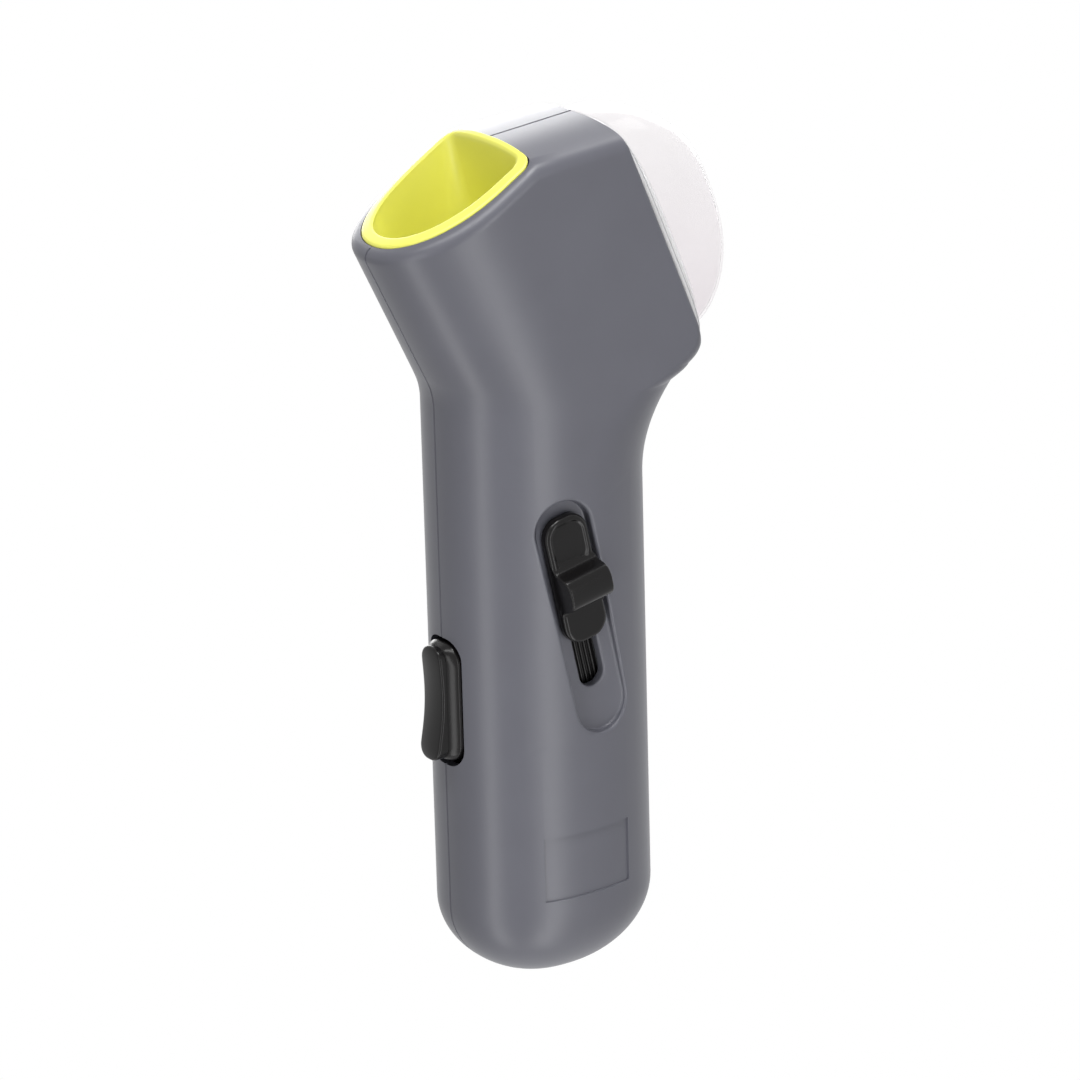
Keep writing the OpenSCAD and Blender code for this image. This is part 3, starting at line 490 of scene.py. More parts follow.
def outline(section, w):
    front, back, half, square, share = section
    depth = (halfDepth - w) * half / (halfWidth - w)
    if half < 1e-6:
        shape = np.zeros(2)
    else:
        mid = at(half - rimCorner, shell["underCorner"])
        narrow = at(seamFlat * depth / halfDepth, depth - seamFlat)
        wide = at(half - shell["rimEdge"], shell["rimEdge"])
        shape = lerp(narrow, mid, square) if square <= 1 else lerp(mid, wide, square - 1)
    start, end = front[0] + depth, back[0] - shape[1]
    fold = lerp(lerp(start, end, shell["fold"]), mouthRear[0], share)
    x = [half * sin(frontA) ** bulge, np.full(sideCols, half), shape[0] + (half - shape[0]) * abs(cos(backA)) ** bulge,
         lerp(shape[0], min(shell["groove"], shell["grooveShare"] * shape[0]), rearShares), [0.0]]
    y = [front[0] + depth * (1 - abs(cos(frontA)) ** bulge), [lerp(start, fold, k) for k in flatShares],
         [lerp(fold, end, k) for k in flatShares[:2]], end + shape[1] * sin(backA) ** bulge,
         np.full(len(rearShares) + 1, back[0])]
    flag = np.concatenate([np.zeros(len(frontA) + sideCols), np.ones(len(backA) + len(rearShares) + 1)])
    return np.concatenate(x), np.concatenate(y), flag


def shellRow(section, w, squeeze=1.0):
    front, back, half, square, share = section
    x, y, flag = outline(section, w)
    x = x * squeeze
    u = (y - front[0]) / max(back[0] - front[0], 1e-6)
    bend = topZ(y) - lerp(topZ(front[0]), topZ(back[0]), u)
    fall = share * crown * (x / halfWidth) ** shell["crownPower"]
    return coords(x, y + flag * fall * tan(rimLean), lerp(front[1], back[1], u) + share * bend - fall)


def shellGrid(w):  # the sides, and the roof whose rows meet the rim's upper edge point by point
    rows = sections(w)
    sides = np.array([shellRow(s, w) for s in rows])
    rim = sides[-1, roofCols - 1:, 0]
    return sides, np.array([shellRow(rows[-1], w, x / rim[0])[:roofCols] for x in rim])


(outerGrid, outerRoof), (innerGrid, innerRoof) = shellGrid(0.0), shellGrid(wall)
cutIn = shell["grooveDeep"] * shell["groove"] / wall
for outside, inside, edge in ((outerGrid, innerGrid, np.s_[:, 0]), (outerGrid, innerGrid, np.s_[:, -1]),
                              (outerRoof, innerRoof, np.s_[:, 0]), (outerRoof, innerRoof, np.s_[-1, :])):
    outside[edge] = lerp(outside[edge], inside[edge], cutIn)  # the seam's small groove
rowCount, colCount = outerGrid.shape[:2]
patchLow = buttRows + int(np.argmin([abs(z - patch["low"]) for z in shaftLevels]))
patchHigh = buttRows + len(shaftLevels) + shoulderShares.index(patch["highShare"])
levelY = outerGrid[patchLow, :, 1]
patchLeft, patchRight = (int(np.argmin(abs(levelY - patch[k]))) for k in ("front", "back"))
print("shell grid:", rowCount, "rows", colCount, "columns")

track = dict(
    drop=110.5, y=0.0155, lean=12.0, length=57.5, width=13.8, floor=17.0, inside=14.8, margin=2.2, edge=0.8,
    edgeClear=0.25, foot=0.5, slotWidth=6.5, slotLow=-17.8, slotHigh=13.8, slotEdge=0.5)
trackZ, leanCos, leanSin = shell["height"] - track["drop"], cos(track["lean"]), sin(track["lean"])


def onAxis(p):  # x, across and along the plunger's axis to the frame
    x, across, along = np.moveaxis(np.asarray(p, float), -1, 0)
    return coords(x, track["y"] + across * leanCos - along * leanSin, trackZ + across * leanSin + along * leanCos)


def alongAxis(t):
    return lambda p: onAxis(p + at(0, 0, t))


def axisPlace(y, z):
    dy, dz = y - track["y"], z - trackZ
    return dy * leanCos + dz * leanSin, dz * leanCos - dy * leanSin


def skinX(grid, y, z, rows=slice(patchLow - 2, patchHigh + 3)):  # x of a skin at places given in y and z
    out = []
    for yk, zk in zip(y, z):
        xs, zs = ([np.interp(yk, row[:, 1], row[:, n]) for row in grid[rows]] for n in (0, 2))
        out.append(np.interp(zk, zs, xs))
    return np.array(out)


def trackRings(loop):  # rings of points from the skin into the track, through the slot and back inside
    across, along = axisPlace(loop[:, 1], loop[:, 2])
    reach = track["length"] / 2 - track["width"] / 2
    core = np.clip(along, -reach, reach)
    away = np.hypot(across, along - core)
    dirs = coords(across, along - core) / away[:, None]
    half, (edge, foot, floor) = track["width"] / 2, pick(track, "edge foot floor")

    def ring(r, x=None, drop=0.0, grid=outerGrid):
        flat = onAxis(coords(0.0, dirs[:, 0] * r, core + dirs[:, 1] * r))
        flat[:, 0] = skinX(grid, flat[:, 1], flat[:, 2]) - drop if x is None else x
        return flat

    rings = [ring(lerp(away, half + edge + track["edgeClear"], k)) for k in (0.3, 0.6, 0.85, 1.0)]
    rings += [ring(half + edge * v, None, edge * u) for u, v in fillet(6)]
    rings += [ring(half - foot * u, floor + foot * v) for u, v in fillet(6)]
    slotR, slotEdge = track["slotWidth"] / 2, track["slotEdge"]
    base = coords(dirs[:, 0] * (half - foot), core + dirs[:, 1] * (half - foot))
    slotCore = np.clip(base[:, 1], track["slotLow"] + slotR, track["slotHigh"] - slotR)
    slotDirs = coords(base[:, 0], base[:, 1] - slotCore)
    slotDirs /= np.hypot(slotDirs[:, 0], slotDirs[:, 1])[:, None]

    def slotRing(r, x):
        return onAxis(coords(x, slotDirs[:, 0] * r, slotCore + slotDirs[:, 1] * r))

    lastFloor = slotRing(slotR + slotEdge, floor)
    rings += [lerp(rings[-1], lastFloor, k) for k in (0.33, 0.66)]
    rings += [slotRing(slotR + slotEdge * v, floor - slotEdge * u) for u, v in fillet(5)]
    rings += [slotRing(slotR, x) for x in (lerp(floor, track["inside"], 0.6), track["inside"])]
    boss = half + track["margin"]
    return rings + [ring(boss, track["inside"]), ring(boss, None, 0.0, innerGrid)]


def halfShell(name, withTrack):
    skin = outerGrid.copy()
    if withTrack:
        rows, step = np.arange(rowCount)[:, None], 0.5 * plate["step"]
        y, z = skin[..., 1], skin[..., 2]
        sunk = (rows >= buttRows) & (rows < patchLow) & (y > plate["front"] + step) & (y < plate["back"] - step) \
            & (z > plate["low"] + step) & (z < plate["high"] - step)
        skin[sunk, 0] -= plate["depth"]
    spots = [p for grid in (skin, innerGrid, outerRoof, innerRoof) for p in grid.reshape(-1, 3)]
    outer = np.arange(rowCount * colCount).reshape(rowCount, colCount)
    inner = outer + outer.size
    roof = 2 * outer.size + np.arange(outerRoof[..., 0].size).reshape(outerRoof.shape[:2])
    ceiling = roof + roof.size

    def inPatch(i, j):
        return withTrack and patchLow <= i < patchHigh and patchLeft <= j < patchRight

    faces = gridFaces(coords(inner[:, 0], outer[:, 0])) + gridFaces(coords(outer[:, -1], inner[:, -1]))
    faces += gridFaces(np.stack([roof[-1], ceiling[-1]])) + gridFaces(roof) + [f[::-1] for f in gridFaces(ceiling)]
    faces += gridFaces(outer, skip=inPatch) + [f[::-1] for f in gridFaces(inner, skip=inPatch)]
    if withTrack:
        edge = [(patchLow, j) for j in range(patchLeft, patchRight)]
        edge += [(i, patchRight) for i in range(patchLow, patchHigh)]
        edge += [(patchHigh, j) for j in range(patchRight, patchLeft, -1)]
        edge += [(i, patchLeft) for i in range(patchHigh, patchLow, -1)]
        index = [np.array([outer[p] for p in edge])]
        for ring in trackRings(outerGrid.reshape(-1, 3)[index[0]]):
            index.append(len(spots) + np.arange(len(ring)))
            spots += [*ring]
        faces += gridFaces(np.array([*index, [inner[p] for p in edge]]), True)
    return newObject(name, spots, faces)


mouth = dict(
    width=33.4, length=31.0, wall=2.6, rearShare=0.5, frontShare=0.78, proud=0.4, gap=0.2, corner=2.6, cut=7.0,
    fine=4, outLip=0.55, inLip=0.75, rows=28, rowPower=0.85)  # lime mouth liner
tube = dict(bore=10.6, wall=1.2, drop=40.0, gap=0.05)  # feed tube below it
tubeHigh = (track["drop"] - tube["drop"]) / leanCos


def linerHalf(w):
    half, back = mouth["width"] / 2 - w, shell["mouthRearY"] - w * (mouth["rearShare"] if w > 0 else 1.0)
    front, depth = shell["mouthRearY"] + w - mouth["length"], mouth["length"] * mouth["frontShare"] - w
    r, fine = mouth["corner"], mouth["fine"]
    arc, bend = quarter(9 * fine + 1), quarter(4 * fine + 1)
    side = coords(half * sin(arc) ** bulge, front + depth * (1 - abs(cos(arc)) ** bulge))
    turn = coords(half - r + r * cos(bend), back - r + r * sin(bend))
    straight = [lerp(side[-1], turn[0], k / fine) for k in range(1, fine)]
    rear = [at((half - r) * k, back) for k in np.linspace(1, 0, 3 * fine + 1)[1:]]
    return at(*side, *straight, *turn, *rear)


def mouthRow(w, rise, along=0.0):
    half = linerHalf(w)
    x, y = np.vstack([half, half[-2:0:-1] * at(-1, 1)]).T
    fall = crown * (abs(x) / halfWidth) ** shell["crownPower"]
    return coords(x, y + along * frontDir[0], topZ(y) - fall + rise + along * frontDir[1])


linerCols = len(mouthRow(0, 0))


def onTube(r, t):
    a = fullTurn(linerCols)
    return onAxis(coords(r * sin(a), -r * cos(a), t))


dome = dict(
    width=36.0, length=56.6, height=22.5, wall=0.6, flange=1.2, flangeOut=0.4, flangeEdge=0.25, drop=0.7,
    opening=(30.0, 50.0), cut=7.5, spigot=2.2, spigotEdge=0.3, gap=0.2, power=3.2, flangePower=5.0, profile=1.9,
    columns=176, rows=30)
rimMiddle = (rimHigh(0, 0) + rimLow(0)) / 2


def onRim(p):  # across, down the rim and out of it to the frame
    x, down, out = np.moveaxis(np.asarray(p, float), -1, 0)
    down = down + dome["drop"]
    return coords(x, rimMiddle[0] + down * rimDir[0] + out * rimOut[0], rimMiddle[1] + down * rimDir[1] + out * rimOut[1])


def rimRow(a, b, power, z):
    t = fullTurn(dome["columns"])
    c, s = cos(t), sin(t)
    return onRim(coords(a * np.sign(c) * abs(c) ** (2 / power), b * np.sign(s) * abs(s) ** (2 / power), z))


trigger = dict(
    low=56.2, height=28.2, width=12.0, round=4.8, blockFront=-27.3, blockBack=-15.5, backEdge=0.4, endShare=0.9,
    edge=2.05, edgeDeep=1.85, edgePower=1.72, edgeHold=0.2, padWidth=7.8, padShort=1.5, padRound=3.3, padOut=29.7,
    padDip=1.1, padHeel=1.6, padClose=1.4, padCrown=0.35, padEdge=0.55, padLap=0.02, padStep=0.3,
    pivot=(-18.5, 80.7), room=1.1, side=0.3, doorDrop=0.2, doorCut=(-55.0, -19.9), shellPin=(10.2, 1.28),
    ownPin=(20, 1.31), arm=((-3, 3), (-20.5, -14.5), (80.7, 94.03)), hook=((-3, 3), (-16.8, -6.3), (5.2, 8.2)))
screws = dict(
    radius=1.3, headRadius=2.7, headHeight=1.8, crossWidth=0.8, crossDepth=1.1, crossReach=1.25, tipShare=0.55,
    crossBars=((0.35, 2.0), (0.35 + math.pi / 2, 1.8)), seat=6.0, reach=7.0, tipGap=0.1, well=3.0, hole=1.5,
    thread=1.1, threadEnd=8, start=-1, far=40, post=4.1, cover=1.13)  # each bar of the cross has its turn and depth
postPlaces = [(0.0, 10.0, 12.4), (-19.9, 45.7, 6.6), (18.5, 100.0, 8.2), (-19.9, 105.13, 6.6), (2.0, 189.5, 17.0),
              (24.2, 139.5, 13.5)]  # y, z and outer end of each post
axis = dict(
    spring=61.7, springWall=(-7.0, -5.4), springHalf=4, springOut=18.4, boss=(3.0, 6.5, 11.2), railReach=26,
    leftRail=(12.4, 4.5, 6.0, 16.0), rightRail=(12.1, 4.1, 5.6, 17.5), stopX=11.11, stopT=31.7, stopThick=2.5,
    stops=((18.5, (4.8, 7.5)), (16.5, (-7.5, -4.8))), seat=-52.5, seatThick=2, ledge=((9.5, 17.3), (-8, 0)),
    cradle=52.07, cradleThick=3, cradleSize=((12.0, 15.8), (-4, 4)))  # what the shells hold the works by


def screwPost(y, z, end):  # a post whose outer end follows the wall
    a = fullTurn(48)
    foot = coords(0.0, y + screws["post"] * cos(a), z + screws["post"] * sin(a))
    top = foot.copy()
    top[:, 0] = np.maximum(skinX(outerGrid, foot[:, 1], foot[:, 2], slice(0, rowCount)) - screws["cover"], end)
    return plug("post", [foot, top])


def insideParts(side):  # posts, bosses, rails and ledges on the +X side
    parts = [screwPost(*place) for place in postPlaces]
    parts.append(rod("boss", *axis["boss"], moved(*trigger["pivot"])))
    spring, stop, seat, cradle = pick(axis, "spring stopT seat cradle")
    half = axis["springHalf"]
    parts.append(block("wall", (0, axis["springOut"]), axis["springWall"], (spring - half, spring + half)))
    inner, low, high, deep = axis[side + "Rail"]
    reach = (-axis["railReach"], axis["railReach"])
    parts += [block("rail", (inner, deep), ys, reach, onAxis) for ys in ((low, high), (-high, -low))]
    stops = (stop, stop + axis["stopThick"])
    parts += [block("stop", (axis["stopX"], end), ys, stops, onAxis) for end, ys in axis["stops"]]
    parts.append(block("ledge", *axis["ledge"], (seat - axis["seatThick"], seat), onAxis))
    parts.append(block("cradle", *axis["cradleSize"], (cradle, cradle + axis["cradleThick"]), onAxis))
    return joined("inside", parts)


def openings():
    throat = plug("throat", [mouthRow(-mouth["gap"], 0.0, along) for along in (-mouth["cut"], mouth["cut"])])
    a, b = (v / 2 for v in dome["opening"])
    hatch = plug("hatch", [rimRow(a, b, dome["flangePower"], z - wall) for z in (-dome["cut"], dome["cut"])])
    t = trigger
    loop = roundLoop(t["width"] + 2 * t["side"], t["height"] + 2 * t["room"], t["round"])
    middle = t["low"] + t["height"] / 2 - t["doorDrop"]
    door = plug("door", [coords(loop[:, 0], y, loop[:, 1] + middle) for y in t["doorCut"]])
    return [throat, hatch, door]


def pinHole(reach, r):
    return rod("pinHole", r, -reach, reach, moved(*trigger["pivot"]), 32)


def screwHoles(side):
    start, seat, hole, well, far = pick(screws, "start seat hole well far")
    thread, end = screws["thread"], screws["threadEnd"]
    profile = [(0, start), (hole, start), (hole, seat), (well, seat), (well, far), (0, far)]
    if side == "left":
        profile = [(0, start), (thread, start), (thread, end), (0, end)]
    return joined("holes", [lathe("hole", profile, moved(y, z)) for y, z, reach in postPlaces])


def housing(side):
    half = halfShell(side + "Half", side == "left")
    carve(half, "UNION", [insideParts(side)], 30)
    carve(half, "DIFFERENCE", [*openings(), pinHole(*trigger["shellPin"]), screwHoles(side)], 30)
    if side == "right":
        half.data.transform(Matrix.Scale(-1, 4, (1, 0, 0)))
        settle(half.data, 30)
    return finishPiece(half, side + "_shell", "housing", "shell_grey", side + "_housing")


housing("left")
housing("right")


def funnel():
    foot, top, w, outLip, inLip = tubeHigh + tube["gap"], *pick(mouth, "proud wall outLip inLip")
    shares = np.linspace(0, 1, mouth["rows"]) ** mouth["rowPower"]
    lower, upper = onTube(tube["bore"] + tube["wall"], foot), mouthRow(0, top - outLip)
    rows = [lerp(lower, upper, k) for k in shares]
    rows += [mouthRow(outLip * u, top - outLip * v) for u, v in fillet(6, 15)]
    rows += [mouthRow(w - inLip * v, top - inLip * u) for u, v in fillet(6, 0, 75)]
    lower, upper = onTube(tube["bore"], foot), mouthRow(w, top - inLip)
    rows += [lerp(lower, upper, k) for k in shares[::-1]]
    return finishPiece(loft("funnel", rows, True, 50), "mouth_liner", "housing", "liner_lime", "muzzle_funnel")


funnel()


def clearDome():
    t, gap, spigot, out, e, f = pick(dome, "wall gap spigot flangeOut spigotEdge flangeEdge")
    a, b, z = dome["width"] / 2, dome["length"] / 2, gap + dome["flange"]
    neckA, neckB = (v / 2 - gap for v in dome["opening"])

    def cap(a, b, h):
        rows = []
        for k in quarter(dome["rows"] + 1):
            r = max(cos(k), 0.0) ** (2 / dome["profile"])
            rows.append(rimRow(a * r, b * r, dome["power"], z + h * sin(k) ** (2 / dome["profile"])))
        return rows

    def neck(inset, h):
        return rimRow(neckA - inset, neckB - inset, dome["flangePower"], h)

    def brim(inset, h):
        return rimRow(a + out - inset, b + out - inset, dome["flangePower"], h)

    rows = cap(a - t, b - t, dome["height"] - t)[::-1]
    rows += [neck(t, z), neck(t, 0.0), neck(t, -spigot), neck(e, -spigot), neck(0, e - spigot), neck(0, gap)]
    rows += [brim(f, gap), brim(0, gap + f), brim(0, z - f), brim(f, z), *cap(a, b, dome["height"])]
    return finishPiece(loft("dome", rows, False, 40), "clear_dome", "dome", "clear_dome", "hopper_dome")


clearDome()

slider = dict(
    length=30.7, width=11.4, corner=4.56, low=17.3, lowEdge=0.3, face=19.9, middle=10.0, edge=1.1, rim=1.1, dish=0.6,
    dishLow=13.0, dishCorner=3.4, dishRun=0.7, dishSlant=0.75, faceStep=0.08, ridgeEdge=0.45, ridgeInset=0.01,
    stemMiddle=9.0, stemLength=9.0, stemWidth=5.9, stemFoot=14.5, stemLap=0.2, bore=(1.05, 12, 18.5))
ridgeLine = [  # height over the plate and place along
    (-1.6, 15.9), (-0.72, 15.9), (-0.67, 15.1), (-0.3, 14.6), (0.15, 14.05), (0.6, 13.6), (1.4, 13.3), (2.6, 13.0),
    (3.6, 12.75), (4.3, 12.4), (4.75, 11.9), (5.1, 11.4), (5.4, 10.7), (5.57, 9.8), (5.6, 8.8), (5.54, 7.7), (5.25, 6.55),
    (4.6, 5.65), (3.3, 4.85), (1.7, 4.2), (0.6, 3.8), (0.14, 3.45), (-0.02, 3.0), (-0.06, 2.4), (-1.6, 2.4)]


def sunkBox(p, w, h, r):  # distance inside a rounded rectangle
    q = abs(p) - at(w / 2 - r, h / 2 - r)
    return r - np.hypot(np.maximum(q[:, 0], 0), np.maximum(q[:, 1], 0)) - np.minimum(np.max(q, axis=1), 0)


def roundedLine(p, times=3):  # corner cutting, closed
    for n in range(times):
        ahead = np.roll(p, -1, axis=0)
        p = np.stack([lerp(p, ahead, 0.25), lerp(p, ahead, 0.75)], axis=1).reshape(-1, 2)
    return p


def sliderPlate():
    s = slider
    high = s["middle"] + s["length"] / 2 - s["rim"]
    dishSize = (s["width"] - 2 * s["rim"], high - s["dishLow"])
    dishShift = at(0, (high + s["dishLow"]) / 2 - s["middle"])

    def ring(inset, x):
        loop = roundLoop(s["width"] - 2 * inset, s["length"] - 2 * inset, s["corner"] - inset, 8, 10)
        level = np.full(len(loop), float(x))
        if inset > s["edge"] - tiny:
            deep = smooth(sunkBox(loop - dishShift, *dishSize, s["dishCorner"]) / s["dishRun"])
            level -= s["dish"] * deep * smooth(s["dishSlant"] - loop[:, 0] / s["width"])
        return onAxis(coords(level, loop[:, 0], loop[:, 1] + s["middle"]))

    e, half, low = s["edge"], s["width"] / 2, s["low"]
    rows = [ring(half - tiny, low), ring(s["lowEdge"], low), ring(0, low + s["lowEdge"])]
    rows[0][:, 0] = low
    rows += [ring(e * u, s["face"] - e * v) for u, v in fillet(10)]
    rows += [ring(k, s["face"]) for k in np.linspace(e + s["faceStep"], half - tiny, 30)]
    return loft("slider", rows, False, 40)


def sliderRidge():
    half, e = slider["width"] / 2 - slider["ridgeInset"], slider["ridgeEdge"]
    line = roundedLine(np.array(ridgeLine) + at(slider["face"], 0))
    ahead = np.roll(line, -1, axis=0) - np.roll(line, 1, axis=0)
    inward = coords(ahead[:, 1], -ahead[:, 0]) / np.hypot(ahead[:, 0], ahead[:, 1])[:, None]
    ends = [(half - e * v, e * u) for u, v in fillet(7)[::-1]]
    places = ends + [(y, 0.0) for y in np.linspace(half - e, e - half, 8)[1:-1]] + [(-y, d) for y, d in ends[::-1]]
    rows = []
    for y, d in places:
        p = line + inward * d
        rows.append(onAxis(coords(p[:, 0], y, p[:, 1])))
    return plug("ridge", rows, 50)


def thumbSlider():
    s = slider
    knob = sliderPlate()
    loop = stadiumLoop(s["stemWidth"], s["stemLength"])
    ends = (s["stemFoot"], s["low"] + s["stemLap"])
    stems = [onAxis(coords(x, loop[:, 0], loop[:, 1] + s["stemMiddle"])) for x in ends]
    carve(knob, "UNION", [sliderRidge(), plug("stem", stems)], 42)
    carve(knob, "DIFFERENCE", [rod("bore", *s["bore"], alongAxis(s["stemMiddle"]), 24)], 42)
    return finishPiece(knob, "thumb_slider_knob", "plunger", "black_plastic", "thumb_slider")


thumbSlider()


def padFront(z):
    t = trigger
    u = (t["low"] + t["height"] - z) / t["height"]
    return -t["padOut"] - t["padHeel"] * u ** 3 + t["padDip"] * sin(180 * u) + t["padClose"] * abs(2 * u - 1) ** 8


def fingerTrigger():
    t = trigger
    middle = t["low"] + t["height"] / 2
    front, rear, back, bend, deep = pick(t, "blockFront blockBack backEdge edgePower edgeDeep")
    edge, soft, half = t["edge"], t["padEdge"], t["padWidth"] / 2

    def blockRing(inset, y):
        loop = roundLoop(t["width"] - 2 * inset, t["height"] - t["endShare"] * inset, t["round"] - inset, 6, 10)
        return coords(loop[:, 0], y, loop[:, 1] + middle)

    def padRing(inset, sink):
        loop = roundLoop(t["padWidth"] - 2 * inset, t["height"] - t["padShort"] - 2 * inset, t["padRound"] - inset, 6, 10)
        x, z = loop[:, 0], loop[:, 1] + middle
        return coords(x, padFront(z) + sink + t["padCrown"] * abs(x / half) ** 2, z)

    rows = [blockRing(t["width"] / 2 - tiny, rear), blockRing(back, rear), blockRing(0, rear - back),
            blockRing(0, front + deep + t["edgeHold"])]
    rows += [blockRing(edge * (1 - max(cos(a), 0.0) ** bend), front + deep * (1 - sin(a) ** bend)) for a in quarter(14)]
    foot = padRing(0, 0)
    foot[:, 1] = front - t["padLap"]
    rows.append(foot)
    rows += [padRing(soft * u, soft * v) for u, v in fillet(8)]
    rows += [padRing(k, 0.0) for k in np.linspace(soft + t["padStep"], half - tiny, 10)]
    body = loft("trigger", rows, False, 40)
    carve(body, "UNION", [block("arm", *t["arm"]), block("hook", *t["hook"], onAxis)], 40)
    carve(body, "DIFFERENCE", [pinHole(*t["ownPin"])], 40)
    return finishPiece(body, "finger_trigger", "trigger", "black_plastic", "trigger")


fingerTrigger()


# geometry nodes: what repeats or winds
def newTree(name, inputs):
    tree = bpy.data.node_groups.new(name, "GeometryNodeTree")

    def socket(label, kind, way="INPUT"):
        return tree.interface.new_socket(label, in_out=way, socket_type="NodeSocket" + kind)

    socket("Geometry", "Geometry")
    for label, value in inputs.items():
        socket(label, "Int" if isinstance(value, int) else "Float").default_value = value
    socket("Finish", "Material")
    socket("Geometry", "Geometry", "OUTPUT")
    return Wire(tree), {s.name: Wire(tree, s) for s in tree.nodes.new("NodeGroupInput").outputs if s.name}


def endTree(wire, got, shape):
    whole = wire.geo("RealizeInstances", {"Geometry": shape})
    soft = wire.geo("SetShadeSmooth", {"Geometry": whole})
    painted = wire.geo("SetMaterial", {"Geometry": soft, "Material": got["Finish"]})
    wire.add("NodeGroupOutput", {0: painted})
    return wire.tree


def grow(name, tree, values, slot, spots=((0, 0, 0),), sharp=40):  # run a tree on a few points and keep its mesh
    mesh = meshFrom(name, spots)
    obj = linked(name, mesh)
    step = obj.modifiers.new("nodes", "NODES")
    step.node_group = tree
    sockets = {s.name: s.identifier for s in tree.interface.items_tree if s.in_out == "INPUT"}
    for label, value in {**values, "Finish": looks[slot]}.items():
        step[sockets[label]] = value
    made = bakedMesh(obj)
    obj.modifiers.clear()
    obj.data = made
    bpy.data.meshes.remove(mesh)
    settle(made, sharp)
    return obj


def moveAll(obj, place):  # every point of a mesh, in millimetres
    for v in obj.data.vertices:
        v.co = place(np.array(v.co) / mm) * mm
    settle(obj.data, 40)


springs = dict(launch=dict(radius=6.0, wire=1.2, turns=8.5, start=-50.0, length=38.0, gap=0.01),
               trigger=dict(radius=2.3, wire=0.6, turns=5.5, start=-15.5, length=8.5, gap=0.01))


def coilSizes(kind):
    radius, thick, turns, length, gap = pick(springs[kind], "radius wire turns length gap")
    return {"Radius": radius * mm, "Wire": thick * mm, "Turns": turns, "Steps": 28,
            "Length": (length - thick - 2 * gap) * mm}


def springTree():
    wire, got = newTree("coilSpring", coilSizes("launch"))
    path = wire.geo("CurveSpiral", {
        "Resolution": got["Steps"], "Rotations": got["Turns"], "Start Radius": got["Radius"], "End Radius": got["Radius"],
        "Height": got["Length"]})
    ring = wire.geo("CurvePrimitiveCircle", {"Resolution": 14, "Radius": got["Wire"] * 0.5})
    return endTree(wire, got, wire.geo("CurveToMesh", {"Curve": path, "Profile Curve": ring, "Fill Caps": True}))


coilTree = springTree()


def spring(kind, place):
    s = springs[kind]
    obj = grow(kind + "Spring", coilTree, coilSizes(kind), "steel")
    moveAll(obj, lambda p: place(p + at(0, 0, s["wire"] / 2 + s["gap"])))
    return obj


launch = spring("launch", alongAxis(springs["launch"]["start"]))
finishPiece(launch, "launch_coil", "housing", "steel", "launch_spring")
-float(sin(track["lean"]))
float(cos(track["lean"]))
tuple(float(v) * mm for v in onAxis((0, 0, springs["launch"]["start"])))
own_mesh(launch)
back = spring("trigger", lambda p: at(p[0], springs["trigger"]["start"] + p[2], axis["spring"] + p[1]))
finishPiece(back, "trigger_coil", "housing", "steel", "trigger_spring")
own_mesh(back)


def screwTree(sizes):
    wire, got = newTree("crossScrew", sizes)

    def bar(turn, deep):
        size = wire.vec(X=got["Head radius"] * screws["crossReach"], Y=got["Cross width"], Z=got["Cross depth"] * deep)
        cube, top = wire.geo("MeshCube", {"Size": size}), wire.vec(Z=got["Head height"])
        return wire.geo("Transform", {"Geometry": cube, "Translation": top, "Rotation": (0, 0, turn)})

    head = wire.geo("MeshCylinder", {"Vertices": 40, "Radius": got["Head radius"], "Depth": got["Head height"]})
    cut = wire.geo("Transform", {"Geometry": head, "Translation": wire.vec(Z=got["Head height"] * 0.5)})
    cone = wire.geo("MeshCone", {
        "Vertices": 40, "Radius Top": got["Shank radius"] * screws["tipShare"], "Radius Bottom": got["Shank radius"],
        "Depth": got["Shank length"]})
    shank = wire.geo("Transform", {"Geometry": cone, "Translation": wire.vec(Z=got["Shank length"] * -1.0)})
    for turn, deep in screws["crossBars"]:
        cut = wire.geo("MeshBoolean", {"Mesh 1": cut, "Mesh 2": bar(turn, deep)}, operation="DIFFERENCE")
    both = wire.geo("JoinGeometry", {"Geometry": cut})
    wire.tree.links.new(shank.socket, both.socket.node.inputs["Geometry"])
    turn = (0, -math.pi / 2, 0)
    placed = wire.geo("InstanceOnPoints", {"Points": got["Geometry"], "Instance": both, "Rotation": turn})
    return endTree(wire, got, placed)


screwSizes = {"Head radius": screws["headRadius"] * mm, "Head height": screws["headHeight"] * mm,
              "Cross width": screws["crossWidth"] * mm, "Cross depth": screws["crossDepth"] * mm,
              "Shank radius": screws["radius"] * mm,
              "Shank length": (screws["seat"] + screws["reach"] - screws["tipGap"]) * mm}
shellScrews = grow("screws", screwTree(screwSizes), screwSizes, "steel",
                   [(-screws["seat"], y, z) for y, z, end in postPlaces])
finishPiece(shellScrews, "shell_screws", "housing", "steel", "housing_screws")

strip = dict(
    low=-19.3, high=37.3, x=13.1, thick=1.4, baseThin=0.4, plainLap=0.5, width=8.4, ribPitch=1.2, ribs=7,
    ribRadius=0.42, ribLow=-19.0, ribHigh=0.0, ribLap=0.4, ribSink=0.01, bore=(1.45, 12, 16))


def ribTree(sizes):
    wire, got = newTree("stripRibs", sizes)
    bar = wire.geo("MeshCylinder", {"Vertices": 16, "Radius": got["Radius"], "Depth": got["Length"]})
    line = wire.geo("MeshLine", {"Count": got["Count"], "Offset": wire.vec(Y=got["Pitch"])})
    return endTree(wire, got, wire.geo("InstanceOnPoints", {"Points": line, "Instance": bar}))


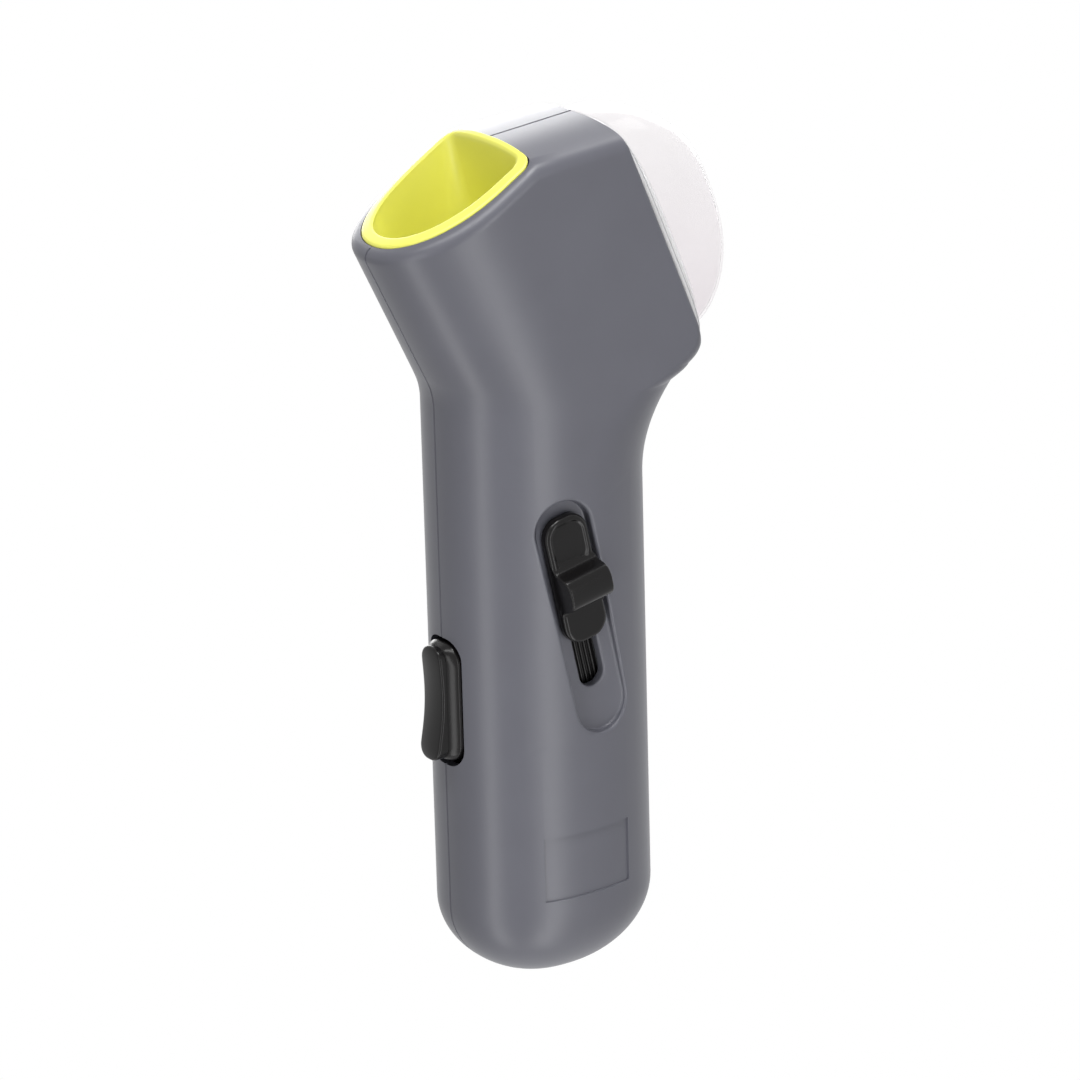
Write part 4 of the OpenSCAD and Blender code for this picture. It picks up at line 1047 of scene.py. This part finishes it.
def slideStrip():
    s = strip
    sizes = {"Count": s["ribs"], "Pitch": s["ribPitch"] * mm, "Radius": s["ribRadius"] * mm,
             "Length": (s["ribHigh"] + s["ribLap"] - s["ribLow"]) * mm}
    ribs = grow("ribs", ribTree(sizes), sizes, "black_plastic")
    shift = at(s["x"] + s["thick"] - s["ribRadius"] - s["ribSink"], -s["ribPitch"] * (s["ribs"] - 1) / 2,
               (s["ribLow"] + s["ribHigh"] + s["ribLap"]) / 2)
    moveAll(ribs, lambda p: onAxis(p + shift))
    half, (low, high, deep, thick) = s["width"] / 2, pick(s, "low high x thick")
    base = block("base", (deep, deep + thick - s["baseThin"]), (-half, half), (low, high), onAxis)
    plain = block("plain", (deep + s["plainLap"], deep + thick), (-half, half), (s["ribHigh"], high), onAxis)
    carve(base, "UNION", [plain], 40)
    carve(base, "UNION", [ribs], 40)
    carve(base, "DIFFERENCE", [rod("bore", *s["bore"], alongAxis(slider["stemMiddle"]), 24)], 40)
    return finishPiece(base, "ribbed_strip", "plunger", "black_plastic", "slide_strip")


slideStrip()

# the CAD nodes that stay, with their finishes
staying = {"feed_tube": "liner_lime", "hopper_chute": "shell_grey", "plunger_head": "black_plastic",
           "plunger_pad": "black_rubber", "plunger_rod": "steel", "carriage": "black_plastic", "slider_screw": "steel",
           "spring_seat": "black_plastic", "bumper_pads": "black_rubber", "trigger_pin": "steel"}
for node, slot in staying.items():
    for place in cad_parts[node].material_slots:
        place.material = looks[slot]
print("finishes on", len(staying), "kept solids")

# stage, light and camera
studio = dict(floor=-1300.0, size=4000.0, paper=(0.94, 0.94, 0.94), ambient=0.09, aim=0.11)


def whiteWhereSeen(wire, kind, paint, shade):  # white to camera, glossy and transmission rays, a shade to others
    rays = [wire.shade("LightPath", out=name) for name in ("Is Camera Ray", "Is Glossy Ray", "Is Transmission Ray")]
    seen = wire.sum("MAXIMUM", wire.sum("MAXIMUM", rays[0], rays[1]), rays[2])
    white = wire.shade(kind, {"Color": (1, 1, 1, 1), "Strength": 1.0})
    return wire.shade("MixShader", {0: seen, 1: wire.shade(paint, shade), 2: white})


def makeStage():
    size, level = studio["size"], studio["floor"]
    corners = [(-size, -size, level), (size, -size, level), (size, size, level), (-size, size, level)]
    floor = linked("floor", meshFrom("floor", corners, [(0, 1, 2, 3)]))
    paper = {"Color": (*studio["paper"], 1)}
    floor.data.materials.append(newMaterial(
        "paperFloor", lambda wire: whiteWhereSeen(wire, "Emission", "BsdfDiffuse", paper)))
    world = bpy.data.worlds.new("studio")
    wire = emptyTree(world)
    dim = {"Color": (1, 1, 1, 1), "Strength": studio["ambient"]}
    wire.shade("OutputWorld", {"Surface": whiteWhereSeen(wire, "Background", "Background", dim)})
    bpy.context.scene.world = world


view = dict(
    azimuth=56.07, elevation=19.18, roll=-1.56, middle=102.6, aside=1.25, away=1200.0, lens=178.0, sensor=36.0,
    clip=(0.05, 20.0))
lamps = {  # turn from the camera, rise, metres away, width, height and power
    "right strip": (39, -22, 0.85, 0.2, 1.9, 5.8), "left strip": (-29, -22, 0.85, 0.2, 1.9, 4.6),
    "front": (-26, 62, 0.8, 0.5, 0.16, 2.2), "side": (24, 76, 0.8, 0.2, 0.2, 2.8),
    "back": (180, 15, 1.0, 1.2, 0.6, 10.5), "high": (140, 58, 0.8, 0.4, 0.4, 1.6)}


def aimed(back, roll=0.0):  # axes of a camera or lamp that looks along -back
    right = np.cross([0, 0, 1.0], back)
    right /= np.linalg.norm(right)
    up = np.cross(back, right)
    return np.stack([right * cos(roll) + up * sin(roll), up * cos(roll) - right * sin(roll), back], axis=1)


def fromAngles(azimuth, elevation):
    return at(sin(azimuth) * cos(elevation), -cos(azimuth) * cos(elevation), sin(elevation))


def put(obj, turn, place):
    matrix = np.eye(4)
    matrix[:3, :3], matrix[:3, 3] = turn, place
    obj.matrix_world = Matrix(matrix.tolist())
    return obj


def makeCamera():
    back = fromAngles(view["azimuth"], view["elevation"])
    target = at(0, 0, view["middle"]) + aimed(back)[:, 0] * view["aside"]
    data = bpy.data.cameras.new("camera")
    data.lens, data.sensor_width = view["lens"], view["sensor"]
    data.clip_start, data.clip_end = view["clip"]
    bpy.context.scene.camera = put(linked("camera", data), aimed(back, view["roll"]), (target + back * view["away"]) * mm)


def makeLamps():
    for name, (side, rise, away, wide, tall, power) in lamps.items():
        back = fromAngles(view["azimuth"] + side, rise)
        light = bpy.data.lights.new(name, "AREA")
        light.shape, light.size, light.size_y, light.energy = "RECTANGLE", wide, tall, power
        obj = put(linked(name, light), aimed(back), back * away + at(0, 0, studio["aim"]))
        obj.visible_camera = obj.visible_transmission = False


makeStage()
makeCamera()
makeLamps()
bpy.context.scene.view_settings.view_transform = "Standard"
print("stage, lamps and camera set")
